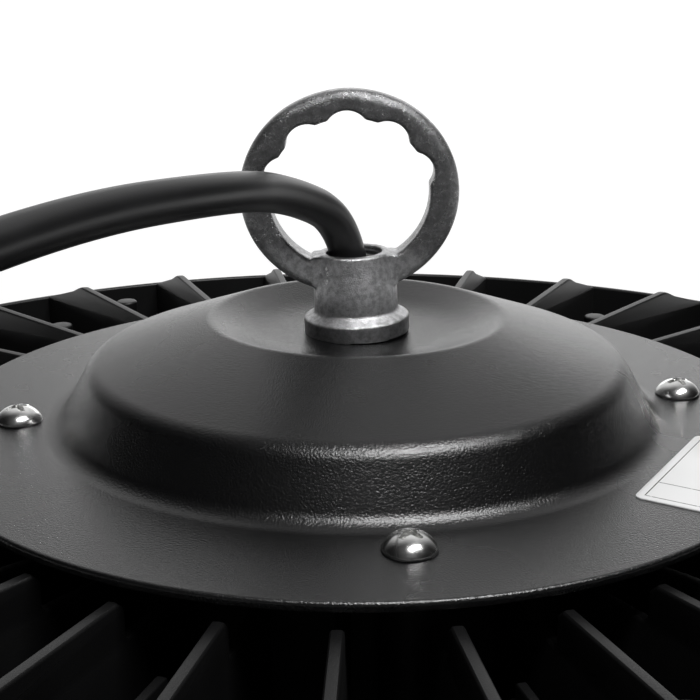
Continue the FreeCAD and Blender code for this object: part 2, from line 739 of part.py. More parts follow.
def add_stem(body):
    """Foot with a bevel and a seal groove, two-step stem with a rounded lip, stud, and the bore."""
    foot_top = dish_top + S["ring_flange_depth"]
    groove_out = S["ring_flange"] - S["seal_inset"]
    groove_in = groove_out - S["seal_width"]
    lip = dish_top + S["collar_rise"]
    turned(
        body,
        "stem",
        [
            (S["bore_radius"] - 1.5, stud_end),
            (S["stud_radius"], stud_end),
            (S["stud_radius"], dish_top),
            (groove_in, dish_top),
            (groove_in, dish_top + S["seal_groove"]),
            (groove_out, dish_top + S["seal_groove"]),
            (groove_out, dish_top),
            (S["ring_flange"], dish_top),
            (S["ring_flange"], foot_top),
            (S["stem_radius"], foot_top + S["ring_bevel"]),
            (S["stem_radius"], dish_top + S["stem_step"]),
            (S["collar_radius"], dish_top + S["collar_step"]),
            (S["collar_radius"], lip - S["collar_round"], S["collar_round"], "right_in"),
            (S["collar_radius"] - S["collar_round"], lip),
            (S["bore_radius"] - 1.5, lip),
        ],
    )
    bore = new_sketch(body, "bore_circle", "XY_Plane", lip + 1.0)
    circle(bore, ZERO, ZERO, S["bore_radius"])
    pocketed(body, "bore", bore, lip - stud_end + 2.0)


def make_ring_seal():
    body = new_body("ring_seal")
    outer = S["ring_flange"] - S["seal_inset"] - S["seal_clearance"]
    inner = outer - S["seal_width"] + S["seal_clearance"] * 2
    top = dish_top + S["seal_groove"]
    turned(body, "band", [(inner, dish_top), (outer, dish_top), (outer, top), (inner, top)])
    return body


def make_ring_washer():
    body = new_body("ring_washer")
    top, under = dish_under, washer_under
    outer = S["washer_radius"]
    turned(body, "disc", [(stud_hole, under), (outer, under), (outer, top), (stud_hole, top)])
    return body


def make_ring_lock_nut():
    body = new_body("ring_lock_nut")
    sketch = new_sketch(body, "hexagon", "XY_Plane", washer_under - S["nut_depth"])
    half = S["nut_radius"] / 2
    tall = S["nut_radius"] * math.sqrt(0.75)
    outline(
        sketch,
        [
            (S["nut_radius"], ZERO),
            (half, tall),
            (half * -1, tall),
            (S["nut_radius"] * -1, ZERO),
            (half * -1, tall * -1),
            (half, tall * -1),
        ],
    )
    circle(sketch, ZERO, ZERO, S["stud_radius"] + S["thread_clearance"])
    padded(body, "nut", sketch, S["nut_depth"])
    return body


def make_cable_grommet():
    body = new_body("cable_grommet")
    hole = cable_radius + S["cable_clearance"]
    plug = S["bore_radius"] - S["grommet_clearance"]
    collar_under = stud_end - S["grommet_collar_depth"]
    turned(
        body,
        "bush",
        [
            (hole, collar_under),
            (S["grommet_collar"], collar_under),
            (S["grommet_collar"], stud_end),
            (plug, stud_end),
            (plug, stud_end + S["grommet_plug"]),
            (hole, stud_end + S["grommet_plug"]),
        ],
    )
    return body


# ---------------------------------------------------------------- driver and connections


def bound_box(name, x, y, z, length, width, height):
    """A Part box whose corner and sides are bound to sizes."""
    box = DOC.addObject("Part::Box", name)
    for prop, size in (("Length", length), ("Width", width), ("Height", height)):
        setattr(box, prop, size.value)
        box.setExpression(prop, size.formula)
    box.Placement.Base = Vector(x.value, y.value, z.value)
    for axis, size in (("x", x), ("y", y), ("z", z)):
        box.setExpression(f"Placement.Base.{axis}", size.formula)
    return box


def bound_cylinder(name, x, y, z, radius, height, direction=None):
    """A Part cylinder whose foot, radius and height are bound to sizes."""
    cylinder = DOC.addObject("Part::Cylinder", name)
    for prop, size in (("Radius", radius), ("Height", height)):
        setattr(cylinder, prop, size.value)
        cylinder.setExpression(prop, size.formula)
    turn = Rotation(Vector(0, 0, 1), direction) if direction else Rotation()
    cylinder.Placement = Placement(Vector(x.value, y.value, z.value), turn)
    for axis, size in (("x", x), ("y", y), ("z", z)):
        cylinder.setExpression(f"Placement.Base.{axis}", size.formula)
    return cylinder


def cut_from(label, base, tools):
    """Base less its tools, as one named sub-part."""
    fused = tools[0]
    if len(tools) > 1:
        fused = DOC.addObject("Part::MultiFuse", f"{label}_tools")
        fused.Shapes = tools
    cut = DOC.addObject("Part::Cut", label)
    cut.Base = base
    cut.Tool = fused
    cut.Label = label
    return cut


def make_led_driver():
    """A metal case with a fixing ear at each end."""
    half_length = S["driver_length"] / 2
    half_width = S["driver_width"] / 2
    case = bound_box(
        "driver_case",
        half_length * -1,
        half_width * -1,
        floor_top,
        S["driver_length"],
        S["driver_width"],
        S["driver_depth"],
    )
    DOC.recompute()
    rounded = DOC.addObject("Part::Fillet", "driver_rounded")
    rounded.Base = case
    radius = S["driver_round"].value
    rounded.Edges = [
        (number, radius, radius)
        for number, edge in enumerate(case.Shape.Edges, start=1)
        if edge.BoundBox.ZLength > 1.0
    ]
    ear_reach = half_length + S["driver_ear"]
    ears = bound_box(
        "driver_ears",
        ear_reach * -1,
        S["driver_ear_width"] / -2,
        floor_top,
        ear_reach * 2,
        S["driver_ear_width"],
        S["driver_ear_depth"],
    )
    whole = DOC.addObject("Part::MultiFuse", "driver_whole")
    whole.Shapes = [rounded, ears]
    hole = S["small_shank"] / 2 + S["screw_hole_clearance"]
    place = ear_hole_place()
    holes = [
        bound_cylinder(name, x, ZERO, floor_top - 1.0, hole, S["driver_ear_depth"] + 2.0)
        for name, x in (("driver_hole_right", place), ("driver_hole_left", place * -1))
    ]
    return cut_from("led_driver", whole, holes)


def make_driver_screws():
    body = new_body("driver_screws")
    head_under = floor_top + S["driver_ear_depth"]
    profile = screw_profile(
        head_under,
        S["small_head"] / 2,
        S["small_head_rise"],
        S["small_shank"] / 2,
        floor_top - S["small_reach"],
        ear_hole_place(),
    )
    screw = turned(body, "screw", profile, axis_at=ear_hole_place())
    patterned(body, "pair", [screw], 2)
    return body


def make_terminal_block():
    """A block on the driver with a wire entry and a clamp screw recess for each way."""
    block = bound_box(
        "block_body",
        S["block_length"] / -2,
        S["block_near"],
        driver_top,
        S["block_length"],
        S["block_width"],
        S["block_height"],
    )
    entry = core_radius + S["entry_clearance"]
    tools = []
    for number, way in enumerate((-1, 0, 1)):
        x = S["block_pitch"] * way
        hole = bound_cylinder(
            f"block_entry{number}", x, S["block_near"], entry_height, entry, S["entry_depth"]
        )
        hole.Placement.Rotation = Rotation(Vector(1, 0, 0), -90.0)
        tools.append(hole)
        recess = bound_cylinder(
            f"block_recess{number}",
            x,
            S["block_near"] + S["block_width"] / 2,
            driver_top + S["block_height"] - 2.0,
            S["block_pitch"] * 0.3,
            Size.of(3.0),
        )
        tools.append(recess)
    return cut_from("terminal_block", block, tools)


def make_earth_lug():
    """A flat lug under the earth screw, with a crimped barrel at its end."""
    plate = bound_box(
        "lug_plate",
        lug_end,
        lug_line - S["lug_width"] / 2,
        floor_top,
        S["lug_length"],
        S["lug_width"],
        S["lug_depth"],
    )
    barrel = bound_cylinder(
        "lug_barrel_body", lug_end, lug_line, barrel_height, S["lug_barrel"], S["lug_crimp"]
    )
    bore_radius = core_radius + S["entry_clearance"]
    bore = bound_cylinder(
        "lug_barrel_bore", lug_end, lug_line, barrel_height, bore_radius, S["lug_crimp"] - 1.0
    )
    for cylinder in (barrel, bore):
        cylinder.Placement.Rotation = Rotation(Vector(0, 1, 0), 90.0)
    whole = DOC.addObject("Part::MultiFuse", "lug_whole")
    whole.Shapes = [plate, barrel]
    hole = bound_cylinder(
        "lug_hole",
        ZERO,
        lug_line,
        floor_top - 1.0,
        S["small_shank"] / 2 + S["screw_hole_clearance"],
        S["lug_depth"] + 2.0,
    )
    return cut_from("earth_lug", whole, [hole, bore])


def make_earth_screw():
    body = new_body("earth_screw")
    profile = screw_profile(
        ZERO,
        S["small_head"] / 2,
        S["small_head_rise"],
        S["small_shank"] / 2,
        (S["small_reach"] + S["lug_depth"]) * -1,
        ZERO,
    )
    turned(body, "screw", profile)
    body.Placement.Base = Vector(0, 0 - S["earth_place"].value, (floor_top + S["lug_depth"]).value)
    body.setExpression("Placement.Base.y", (S["earth_place"] * -1).formula)
    body.setExpression("Placement.Base.z", (floor_top + S["lug_depth"]).formula)
    return body


def make_lead_grommet():
    """A rubber bush in the floor with one hole for each LED lead."""
    place = lead_grommet_place()
    radius = S["lead_grommet_radius"] - S["grommet_clearance"]
    bush = bound_cylinder(
        "lead_bush", ZERO, place, floor_under, radius, S["floor_thickness"]
    )
    collar = bound_cylinder(
        "lead_collar",
        ZERO,
        place,
        floor_top,
        S["lead_grommet_radius"] + 1.5,
        S["lead_grommet_collar"],
    )
    whole = DOC.addObject("Part::MultiFuse", "lead_grommet_whole")
    whole.Shapes = [bush, collar]
    hole = S["lead_diameter"] / 2 + S["cable_clearance"]
    depth = S["floor_thickness"] + S["lead_grommet_collar"] + 2.0
    tools = [
        bound_cylinder(name, S["lead_gap"] * side, place, floor_under - 1.0, hole, depth)
        for name, side in (("lead_way_left", -0.5), ("lead_way_right", 0.5))
    ]
    return cut_from("lead_grommet", whole, tools)


# ---------------------------------------------------------------- light source


def make_led_board():
    board = bound_cylinder(
        "board_disc", ZERO, ZERO, board_under, board_radius, S["board_thickness"]
    )
    depth = S["board_thickness"] + 2.0
    hole = S["small_shank"] / 2 + S["screw_hole_clearance"]
    tools = []
    for number in range(6):
        angle = math.radians(number * 60.0)
        x = S["board_screw_circle"] * math.cos(angle)
        y = S["board_screw_circle"] * math.sin(angle)
        tools.append(bound_cylinder(f"board_hole{number}", x, y, board_under - 1.0, hole, depth))
    lead_hole = S["lead_diameter"] / 2 + S["cable_clearance"]
    for name, side in (("board_lead_left", -0.5), ("board_lead_right", 0.5)):
        x = S["lead_gap"] * side
        place = lead_grommet_place()
        tools.append(bound_cylinder(name, x, place, board_under - 1.0, lead_hole, depth))
    return cut_from("led_board", board, tools)


def led_start(pitches):
    """Where the first LED of a ring stands."""
    return S["dome_pitch"] * pitches


def make_led_chips():
    """A square LED package under each dome of the lens, soldered to the board."""
    body = new_body("led_chips")
    half = S["chip_side"] / 2
    rings = []
    for pitches, count in LED_RINGS:
        sketch = new_sketch(body, f"ring{pitches}_square", "XY_Plane", board_under - S["chip_depth"])
        place = led_start(pitches)
        outline(
            sketch,
            [
                (place - half, half * -1),
                (place + half, half * -1),
                (place + half, half),
                (place - half, half),
            ],
        )
        chip = padded(body, f"ring{pitches}_chip", sketch, S["chip_depth"])
        rings.append(patterned(body, f"ring{pitches}", [chip], count))
    return body


def make_board_screws():
    body = new_body("board_screws")
    profile = screw_profile(
        board_under,
        S["small_head"] / 2 * 0.9,
        S["chip_depth"] * -1.6,
        S["small_shank"] / 2,
        floor_under + S["board_screw_reach"],
        S["board_screw_circle"],
    )
    screw = turned(body, "screw", profile, axis_at=S["board_screw_circle"])
    patterned(body, "set", [screw], 6)
    return body


def make_lens():
    """A clear plate with a dome below each LED."""
    body = new_body("lens")
    top = land + S["lens_thickness"]
    turned(body, "plate", [(ZERO, land), (lens_radius, land), (lens_radius, top), (ZERO, top)])
    crown = (S["dome_radius"] * S["dome_radius"] + S["dome_depth"] * S["dome_depth"]) / (
        S["dome_depth"] * 2
    )
    for pitches, count in LED_RINGS:
        place = led_start(pitches)
        dome = turned(
            body,
            f"ring{pitches}_dome",
            [
                (place, land - S["dome_depth"], crown, "right"),
                (place + S["dome_radius"], land),
                (place + S["dome_radius"], land + 0.5),
                (place, land + 0.5),
            ],
            axis_at=place,
        )
        patterned(body, f"ring{pitches}_domes", [dome], count)
    return body


def make_lens_gasket():
    body = new_body("lens_gasket")
    outer = lens_radius - 0.5
    inner = outer - S["lens_gasket_width"]
    top, under = lens_seat, land + S["lens_thickness"]
    turned(body, "band", [(inner, under), (outer, under), (outer, top), (inner, top)])
    return body


def lens_ring_under():
    return land - S["lens_ring_depth"]


def make_lens_ring():
    body = new_body("lens_ring")
    outer = S["rim_radius"] - S["lip_wall"] - S["lens_ring_gap"]
    under = lens_ring_under()
    bevel = S["lens_ring_depth"] * 0.6
    turned(
        body,
        "band",
        [
            (lens_ring_inner + bevel, under),
            (outer, under),
            (outer, land),
            (lens_ring_inner, land),
            (lens_ring_inner, under + bevel),
        ],
    )
    hole = new_sketch(body, "screw_circle", "XY_Plane", land + 0.5)
    circle(hole, lens_screw_circle, ZERO, S["small_shank"] / 2 + S["screw_hole_clearance"])
    drilled = pocketed(body, "screw_hole", hole, S["lens_ring_depth"] + 1.0)
    patterned(body, "screw_holes", [drilled], S["lens_screw_count"])
    return body


def make_lens_screws():
    body = new_body("lens_screws")
    profile = screw_profile(
        lens_ring_under(),
        S["small_head"] / 2,
        S["small_head_rise"] * -1,
        S["small_shank"] / 2,
        land + S["lens_screw_reach"],
        lens_screw_circle,
    )
    screw = turned(body, "screw", profile, axis_at=lens_screw_circle)
    patterned(body, "set", [screw], S["lens_screw_count"])
    return body


def make_inspection_label():
    """A thin sticker with rounded corners that lies flat on the flange."""
    plate = bound_box(
        "label_plate",
        S["label_inner"],
        S["label_shift"],
        S["flange_top"],
        S["label_width"],
        S["label_length"],
        S["label_thickness"],
    )
    DOC.recompute()
    label = DOC.addObject("Part::Fillet", "inspection_label")
    label.Label = "inspection_label"
    label.Base = plate
    radius = S["label_round"].value
    label.Edges = [
        (number, radius, radius)
        for number, edge in enumerate(plate.Shape.Edges, start=1)
        if edge.BoundBox.ZLength > edge.BoundBox.XLength + edge.BoundBox.YLength
    ]
    label.Placement = Placement(Vector(), Rotation(Vector(0, 0, 1), S["label_angle"].value))
    label.setExpression("Placement.Rotation.Angle", S["label_angle"].formula)
    return label


# ---------------------------------------------------------------- cable and wires

# The cable's route: up through the grommet and the stem, out of its mouth towards the front left,
# over the fins and down beside the band, then round on the floor to its free end.
CABLE_ROUTE = [
    (0.0, 0.0, S["cable_start"].value),
    (0.0, 0.0, 97.0),
    (-1.7, -0.5, 125.0),
    (-10.0, -17.0, 135.5),
    (-24.5, -42.5, 138.0),
    (-43.0, -74.0, 138.5),
    (-68.0, -112.0, 134.0),
    (-98.0, -150.0, 112.0),
    (-134.0, -178.0, 68.0),
    (-170.0, -180.0, 26.0),
    (-197.0, -150.0, 4.0),
    (-209.0, -100.0, 4.0),
    (-211.0, -50.0, 4.0),
    (-205.0, 4.0, 4.0),
    (-192.0, 56.0, 4.0),
]
TAIL_LENGTH = 42.0
TAIL_SPREAD = {"live": 0.04, "neutral": -0.36, "earth": 0.30}


def bend_radii(points):
    """The radius at each inner point: 0.45 of its shorter run over the tangent of half the turn."""
    radii = []
    for before, here, after in zip(points, points[1:], points[2:]):
        run_in, run_out = here - before, after - here
        half_turn = run_in.getAngle(run_out) / 2
        radii.append(0.45 * min(run_in.Length, run_out.Length) / math.tan(half_turn))
    return radii


def bent_path(points):
    """Straight runs joined by tangent arcs."""
    edges, last = [], points[0]
    for index, radius in enumerate(bend_radii(points), start=1):
        here = points[index]
        back = (points[index - 1] - here).normalize()
        on = (points[index + 1] - here).normalize()
        half_angle = back.getAngle(on) / 2
        reach = radius / math.tan(half_angle)
        start, end = here + back * reach, here + on * reach
        inward = (back + on).normalize()
        middle = here + inward * (radius / math.sin(half_angle) - radius)
        if (start - last).Length > 1e-6:
            edges.append(Part.LineSegment(last, start).toShape())
        edges.append(Part.Arc(start, middle, end).toShape())
        last = end
    edges.append(Part.LineSegment(last, points[-1]).toShape())
    return Part.Wire(edges)


def tube(name, points, diameter):
    """A solid round tube along a bent path, as a sub-part of its own."""
    path = bent_path(points)
    direction = points[1] - points[0]
    section = Part.Wire([Part.makeCircle(diameter / 2, points[0], direction)])
    solid = path.makePipeShell([section], True, False)
    expected = math.pi * diameter * diameter / 4 * path.Length
    if abs(solid.Volume - expected) > 0.01 * expected:
        raise RuntimeError(f"{name}: volume {solid.Volume:.1f}, and section times length {expected:.1f}")
    feature = DOC.addObject("Part::Feature", name)
    feature.Label = name
    feature.Shape = solid
    feature.Placement = Placement()
    radii = bend_radii(points)
    print(f"{name}: {path.Length:.1f} mm long, bends", [round(r) for r in radii])
    return feature


def make_power_cable():
    points = [Vector(*place) for place in CABLE_ROUTE]
    return tube("power_cable", points, S["cable_diameter"].value)


def core_offset(number):
    """Where a core lies in the cable's section, beside and above its centreline."""
    angle = math.radians(90.0 + 120.0 * number)
    return S["core_pitch"].value * math.cos(angle), S["core_pitch"].value * math.sin(angle)


def make_inner_cores():
    """Live and neutral go down and into the terminal block, earth goes to its lug on the floor."""
    start = S["cable_start"].value
    entry_end = (S["block_near"] + S["entry_depth"] * 0.8).value
    made = []
    for name, number, way in (("neutral_core", 1, -1), ("live_core", 0, 0)):
        x, y = core_offset(number)
        way_x = S["block_pitch"].value * way
        points = [
            Vector(x, y, start),
            Vector(x, y, start - 6.0),
            Vector(way_x, y - 3.0, entry_height.value),
            Vector(way_x, entry_end, entry_height.value),
        ]
        made.append(tube(name, points, S["core_diameter"].value))
    x, y = core_offset(2)
    edge = S["driver_width"].value / -2
    points = [
        Vector(x, y, start),
        Vector(x, y, start - 6.0),
        Vector(x - 1.0, y - 10.0, start - 15.0),
        Vector(-9.0, edge, start - 21.0),
        Vector(-21.0, edge - 10.0, start - 30.0),
        Vector(-29.0, lug_line.value, start - 45.0),
        Vector(-26.0, lug_line.value, barrel_height.value),
        Vector(lug_end.value + 3.0, lug_line.value, barrel_height.value),
    ]
    made.append(tube("earth_core", points, S["core_diameter"].value))
    return made


def make_led_leads():
    """Two leads from the driver's long side down through the floor to the LED board."""
    place = lead_grommet_place().value
    made = []
    for name, side in (("negative_lead", -0.5), ("positive_lead", 0.5)):
        x = (S["lead_gap"] * side).value
        exit_height = (floor_top + S["driver_depth"] * 0.5).value
        points = [
            Vector(x, S["driver_width"].value / 2, exit_height),
            Vector(x, place, exit_height),
            Vector(x, place, board_under.value),
        ]
        made.append(tube(name, points, S["lead_diameter"].value))
    return made


def make_cable_tails():
    """Three cores that fan out from the cut sheath at the free end, each with an end ferrule."""
    end, before = Vector(*CABLE_ROUTE[-1]), Vector(*CABLE_ROUTE[-2])
    along = (end - before).normalize()
    beside = Vector(-along.y, along.x, 0)
    made, ferrules = [], []
    rest = S["ferrule_diameter"].value / 2 + 0.2
    for number, (name, lean) in enumerate(TAIL_SPREAD.items()):
        across, up = core_offset(number)
        start = end + beside * across + Vector(0, 0, up)
        way = (along + beside * lean).normalize()
        bend = start + along * (TAIL_LENGTH * 0.12)
        down = bend + way * (TAIL_LENGTH * 0.45)
        down.z = rest
        tip = down + (way + beside * (lean * 0.4)).normalize() * (TAIL_LENGTH * 0.43)
        points = [start, bend, down, tip]
        made.append(tube(f"{name}_tail", points, S["core_diameter"].value))
        ferrules.append(ferrule(tip, (tip - down).normalize()))
    feature = DOC.addObject("Part::Feature", "ferrules")
    feature.Label = "ferrules"
    feature.Shape = Part.makeCompound(ferrules)
    feature.Placement = Placement()
    made.append(feature)
    return made


def ferrule(place, way):
    """An insulated end ferrule: a collar against the core's end and a barrel beyond it."""
    collar = Part.makeCylinder(
        S["ferrule_diameter"].value / 2, S["ferrule_collar"].value, place, way
    )
    barrel = Part.makeCylinder(
        S["ferrule_tip"].value / 2,
        S["ferrule_barrel"].value,
        place + way * S["ferrule_collar"].value,
        way,
    )
    return collar.fuse(barrel).removeSplitter()


# ---------------------------------------------------------------- the whole light


def make_all():
    """Every sub-part, from the heat sink outwards."""
    parts = [
        make_heat_sink(),
        make_driver_cover(),
        make_cover_gasket(),
        make_cover_screws(),
        make_hanging_ring(),
        make_ring_seal(),
        make_ring_washer(),
        make_ring_lock_nut(),
        make_cable_grommet(),
        make_led_driver(),
        make_driver_screws(),
        make_terminal_block(),
        make_earth_lug(),
        make_earth_screw(),
        make_lead_grommet(),
        make_led_board(),
        make_led_chips(),
        make_board_screws(),
        make_lens(),
        make_lens_gasket(),
        make_lens_ring(),
        make_lens_screws(),
        make_inspection_label(),
        make_power_cable(),
    ]
    parts += make_inner_cores()
    parts += make_led_leads()
    parts += make_cable_tails()
    DOC.recompute()
    return parts


def check(parts):
    """Stop if any object of the document failed or any sub-part has no valid shape."""
    for item in DOC.Objects:
        failed = {"Invalid", "Error"}.intersection(item.State)
        if failed:
            raise RuntimeError(f"{item.Name}: {sorted(failed)}")
    for part in parts:
        if part.Shape.isNull() or not part.Shape.isValid():
            raise RuntimeError(f"{part.Label}: its shape is null or not valid")


def export(parts):
    os.makedirs("parts", exist_ok=True)
    for part in parts:
        part.Shape.exportStep(f"parts/{part.Label}.step")


PARTS = make_all()
check(PARTS)
export(PARTS)
for made in PARTS:
    print(f"{made.Label}: {len(made.Shape.Solids)} solid(s), {made.Shape.Volume / 1000:.2f} cm3")
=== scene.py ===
"""An LED high bay light, dressed: casting, cover, hanging ring, fixings, label and lead."""

import logging
import math
from dataclasses import dataclass
from enum import Enum
from typing import Any, Callable, Dict, List, Optional, Sequence, Tuple, Union

import bmesh
import bpy
from mathutils import Matrix, Vector


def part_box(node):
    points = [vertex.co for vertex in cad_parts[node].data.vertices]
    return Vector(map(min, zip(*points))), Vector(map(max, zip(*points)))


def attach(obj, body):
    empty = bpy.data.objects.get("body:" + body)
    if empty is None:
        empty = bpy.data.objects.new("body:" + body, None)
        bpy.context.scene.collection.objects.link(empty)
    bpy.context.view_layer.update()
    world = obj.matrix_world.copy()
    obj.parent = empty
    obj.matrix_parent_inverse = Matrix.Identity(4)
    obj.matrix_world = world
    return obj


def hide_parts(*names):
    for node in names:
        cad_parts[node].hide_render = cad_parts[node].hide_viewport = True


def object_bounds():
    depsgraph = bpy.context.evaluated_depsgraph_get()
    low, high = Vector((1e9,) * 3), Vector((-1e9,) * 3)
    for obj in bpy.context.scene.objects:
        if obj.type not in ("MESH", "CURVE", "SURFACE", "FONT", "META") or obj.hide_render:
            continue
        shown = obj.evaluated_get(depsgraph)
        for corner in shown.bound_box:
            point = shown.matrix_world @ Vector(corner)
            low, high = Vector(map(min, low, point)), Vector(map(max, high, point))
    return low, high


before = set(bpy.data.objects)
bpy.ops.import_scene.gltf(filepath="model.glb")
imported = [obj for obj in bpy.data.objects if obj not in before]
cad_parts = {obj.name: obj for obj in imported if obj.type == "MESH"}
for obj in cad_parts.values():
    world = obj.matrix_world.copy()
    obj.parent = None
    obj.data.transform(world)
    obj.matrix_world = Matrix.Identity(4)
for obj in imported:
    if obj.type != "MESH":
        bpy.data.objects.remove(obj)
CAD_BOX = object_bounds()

LOG = logging.getLogger("high_bay_light")
MM = 0.001
BODY = "root"
Point = Tuple[float, float]
Corner = Tuple[float, float, float]
Place = Tuple[float, float, float]
Colour = Tuple[float, float, float]


# ---- shader graphs


class Signal:
    """One output of a shader graph, with the arithmetic that the finishes use."""

    def __init__(self, graph: "Graph", socket: Optional[bpy.types.NodeSocket]) -> None:
        """Keep the graph and the socket.

        Args:
            graph: the graph that holds the socket.
            socket: the output that this signal stands for.
        """
        self.graph = graph
        self.socket = socket

    def _maths(self, operation: str, first: "Value", second: "Value") -> "Signal":
        """Add a Math node for two values."""
        return self.graph.node("ShaderNodeMath", {"operation": operation}, {0: first, 1: second})

    def __add__(self, other: "Value") -> "Signal":
        """Sum."""
        return self._maths("ADD", self, other)

    __radd__ = __add__

    def __sub__(self, other: "Value") -> "Signal":
        """Difference."""
        return self._maths("SUBTRACT", self, other)

    def __rsub__(self, other: "Value") -> "Signal":
        """Difference from a number."""
        return self._maths("SUBTRACT", other, self)

    def __mul__(self, other: "Value") -> "Signal":
        """Product."""
        return self._maths("MULTIPLY", self, other)

    __rmul__ = __mul__

    def __abs__(self) -> "Signal":
        """Size without its sign."""
        return self._maths("ABSOLUTE", self, 0.0)

    def beside(self, output: str) -> "Signal":
        """Another output of the same node."""
        return Signal(self.graph, self.socket.node.outputs[output])

    def below(self, other: "Value") -> "Signal":
        """One where this is less than the other, else nought."""
        return self._maths("LESS_THAN", self, other)

    def most(self, other: "Value") -> "Signal":
        """The larger of the two."""
        return self._maths("MAXIMUM", self, other)

    def eased(self, low: float, high: float, first: float = 0.0, last: float = 1.0) -> "Signal":
        """Ease from one value to another between two limits.

        Args:
            low: where the change starts.
            high: where it ends.
            first: the value up to low.
            last: the value from high on.

        Returns:
            The eased signal.
        """
        limits = {"From Min": low, "From Max": high, "To Min": first, "To Max": last}
        kind = {"interpolation_type": "SMOOTHSTEP"}
        return self.graph.node("ShaderNodeMapRange", kind, {"Value": self, **limits})


Value = Union[float, Signal]


class Graph:
    """A node tree that is filled through one method."""

    def __init__(self, tree: bpy.types.NodeTree) -> None:
        """Empty the tree."""
        self.tree = tree
        tree.nodes.clear()

    def node(
        self,
        kind: str,
        settings: Optional[Dict[str, Any]] = None,
        inputs: Optional[Dict[Union[int, str], Any]] = None,
        output: Union[int, str] = 0,
    ) -> Signal:
        """Add a node.

        Args:
            kind: the node's type.
            settings: its properties.
            inputs: a value or a signal for each input.
            output: the output that is wanted.

        Returns:
            That output.
        """
        made = self.tree.nodes.new(kind)
        for name, value in (settings or {}).items():
            setattr(made, name, value)
        for name, value in (inputs or {}).items():
            if isinstance(value, Signal):
                self.tree.links.new(value.socket, made.inputs[name])
            else:
                made.inputs[name].default_value = value
        return Signal(self, made.outputs[output] if len(made.outputs) else None)

    def place(self) -> Signal:
        """The piece's own coordinates, in metres."""
        return self.node("ShaderNodeTexCoord", output="Object")

    def noise(self, size: float, detail: float = 3.0, warp: float = 0.0, **more: float) -> Signal:
        """Noise whose features are about one size across.

        Args:
            size: a feature's width in metres.
            detail: octaves.
            warp: distortion.
            more: further inputs, such as Roughness.

        Returns:
            A level from nought to one.
        """
        inputs = {"Vector": self.place(), "Scale": 1 / size, "Detail": detail}
        return self.node("ShaderNodeTexNoise", {}, {**inputs, "Distortion": warp, **more})

    def blend(self, factor: Value, first: Any, second: Any) -> Signal:
        """Mix two colours.

        Args:
            factor: share of the second.
            first: colour or signal.
            second: colour or signal.

        Returns:
            The mixed colour.
        """
        kind = {"data_type": "RGBA"}
        return self.node("ShaderNodeMix", kind, {0: factor, 6: opaque(first), 7: opaque(second)}, 2)

    def bump(self, height: Signal, depth: float) -> Signal:
        """Raise the surface by a height signal.

        Args:
            height: from nought to one.
            depth: the height of one, in metres.

        Returns:
            The normal.
        """
        inputs = {"Height": height, "Distance": depth, "Strength": 1.0}
        return self.node("ShaderNodeBump", {}, inputs)


def opaque(colour: Any) -> Any:
    """A colour with full alpha, or a signal as it is."""
    return colour if isinstance(colour, Signal) else (*colour[:3], 1.0)


def toned(colour: Colour, factor: float) -> Colour:
    """A colour made lighter or darker by a factor, up to full white."""
    return tuple(min(1.0, part * factor) for part in colour)


class Surface(Graph):
    """A material with one Principled shader."""

    def __init__(self, name: str) -> None:
        """Make the material and an empty tree."""
        self.material = bpy.data.materials.new(name)
        self.material.use_nodes = True
        super().__init__(self.material.node_tree)

    def close(self, **inputs: Any) -> bpy.types.Material:
        """Feed the shader and the output.

        Args:
            inputs: shader inputs, with _ for each space.

        Returns:
            The material.
        """
        sockets = {name.replace("_", " "): value for name, value in inputs.items()}
        shader = self.node("ShaderNodeBsdfPrincipled", {}, sockets)
        self.node("ShaderNodeOutputMaterial", {}, {"Surface": shader})
        return self.material


# ---- finishes


@dataclass(frozen=True)
class PowderCoat:
    """A dark powder coat, fine or wrinkled, with slight unevenness."""

    name: str
    colour: Colour
    roughness: float
    grain: float
    depth: float
    unevenness: float = 0.08
    warp: float = 0.0
    shine: float = 0.5
    drift: float = 60.0
    tones: Point = (0.8, 1.25)

    def material(self) -> bpy.types.Material:
        """Wrinkles from warped noise, and broad drifts in colour and gloss."""
        surface = Surface(self.name)
        wrinkle = surface.noise(self.grain, 3.0, self.warp, Roughness=0.5)
        drift = surface.noise(self.grain * self.drift, 3.0)
        low, high = (toned(self.colour, tone) for tone in self.tones)
        return surface.close(
            Base_Color=surface.blend(drift.eased(0.35, 0.65), low, high),
            Roughness=drift * self.unevenness + (self.roughness - self.unevenness / 2),
            Specular_IOR_Level=self.shine,
            Normal=surface.bump(wrinkle, self.depth),
        )


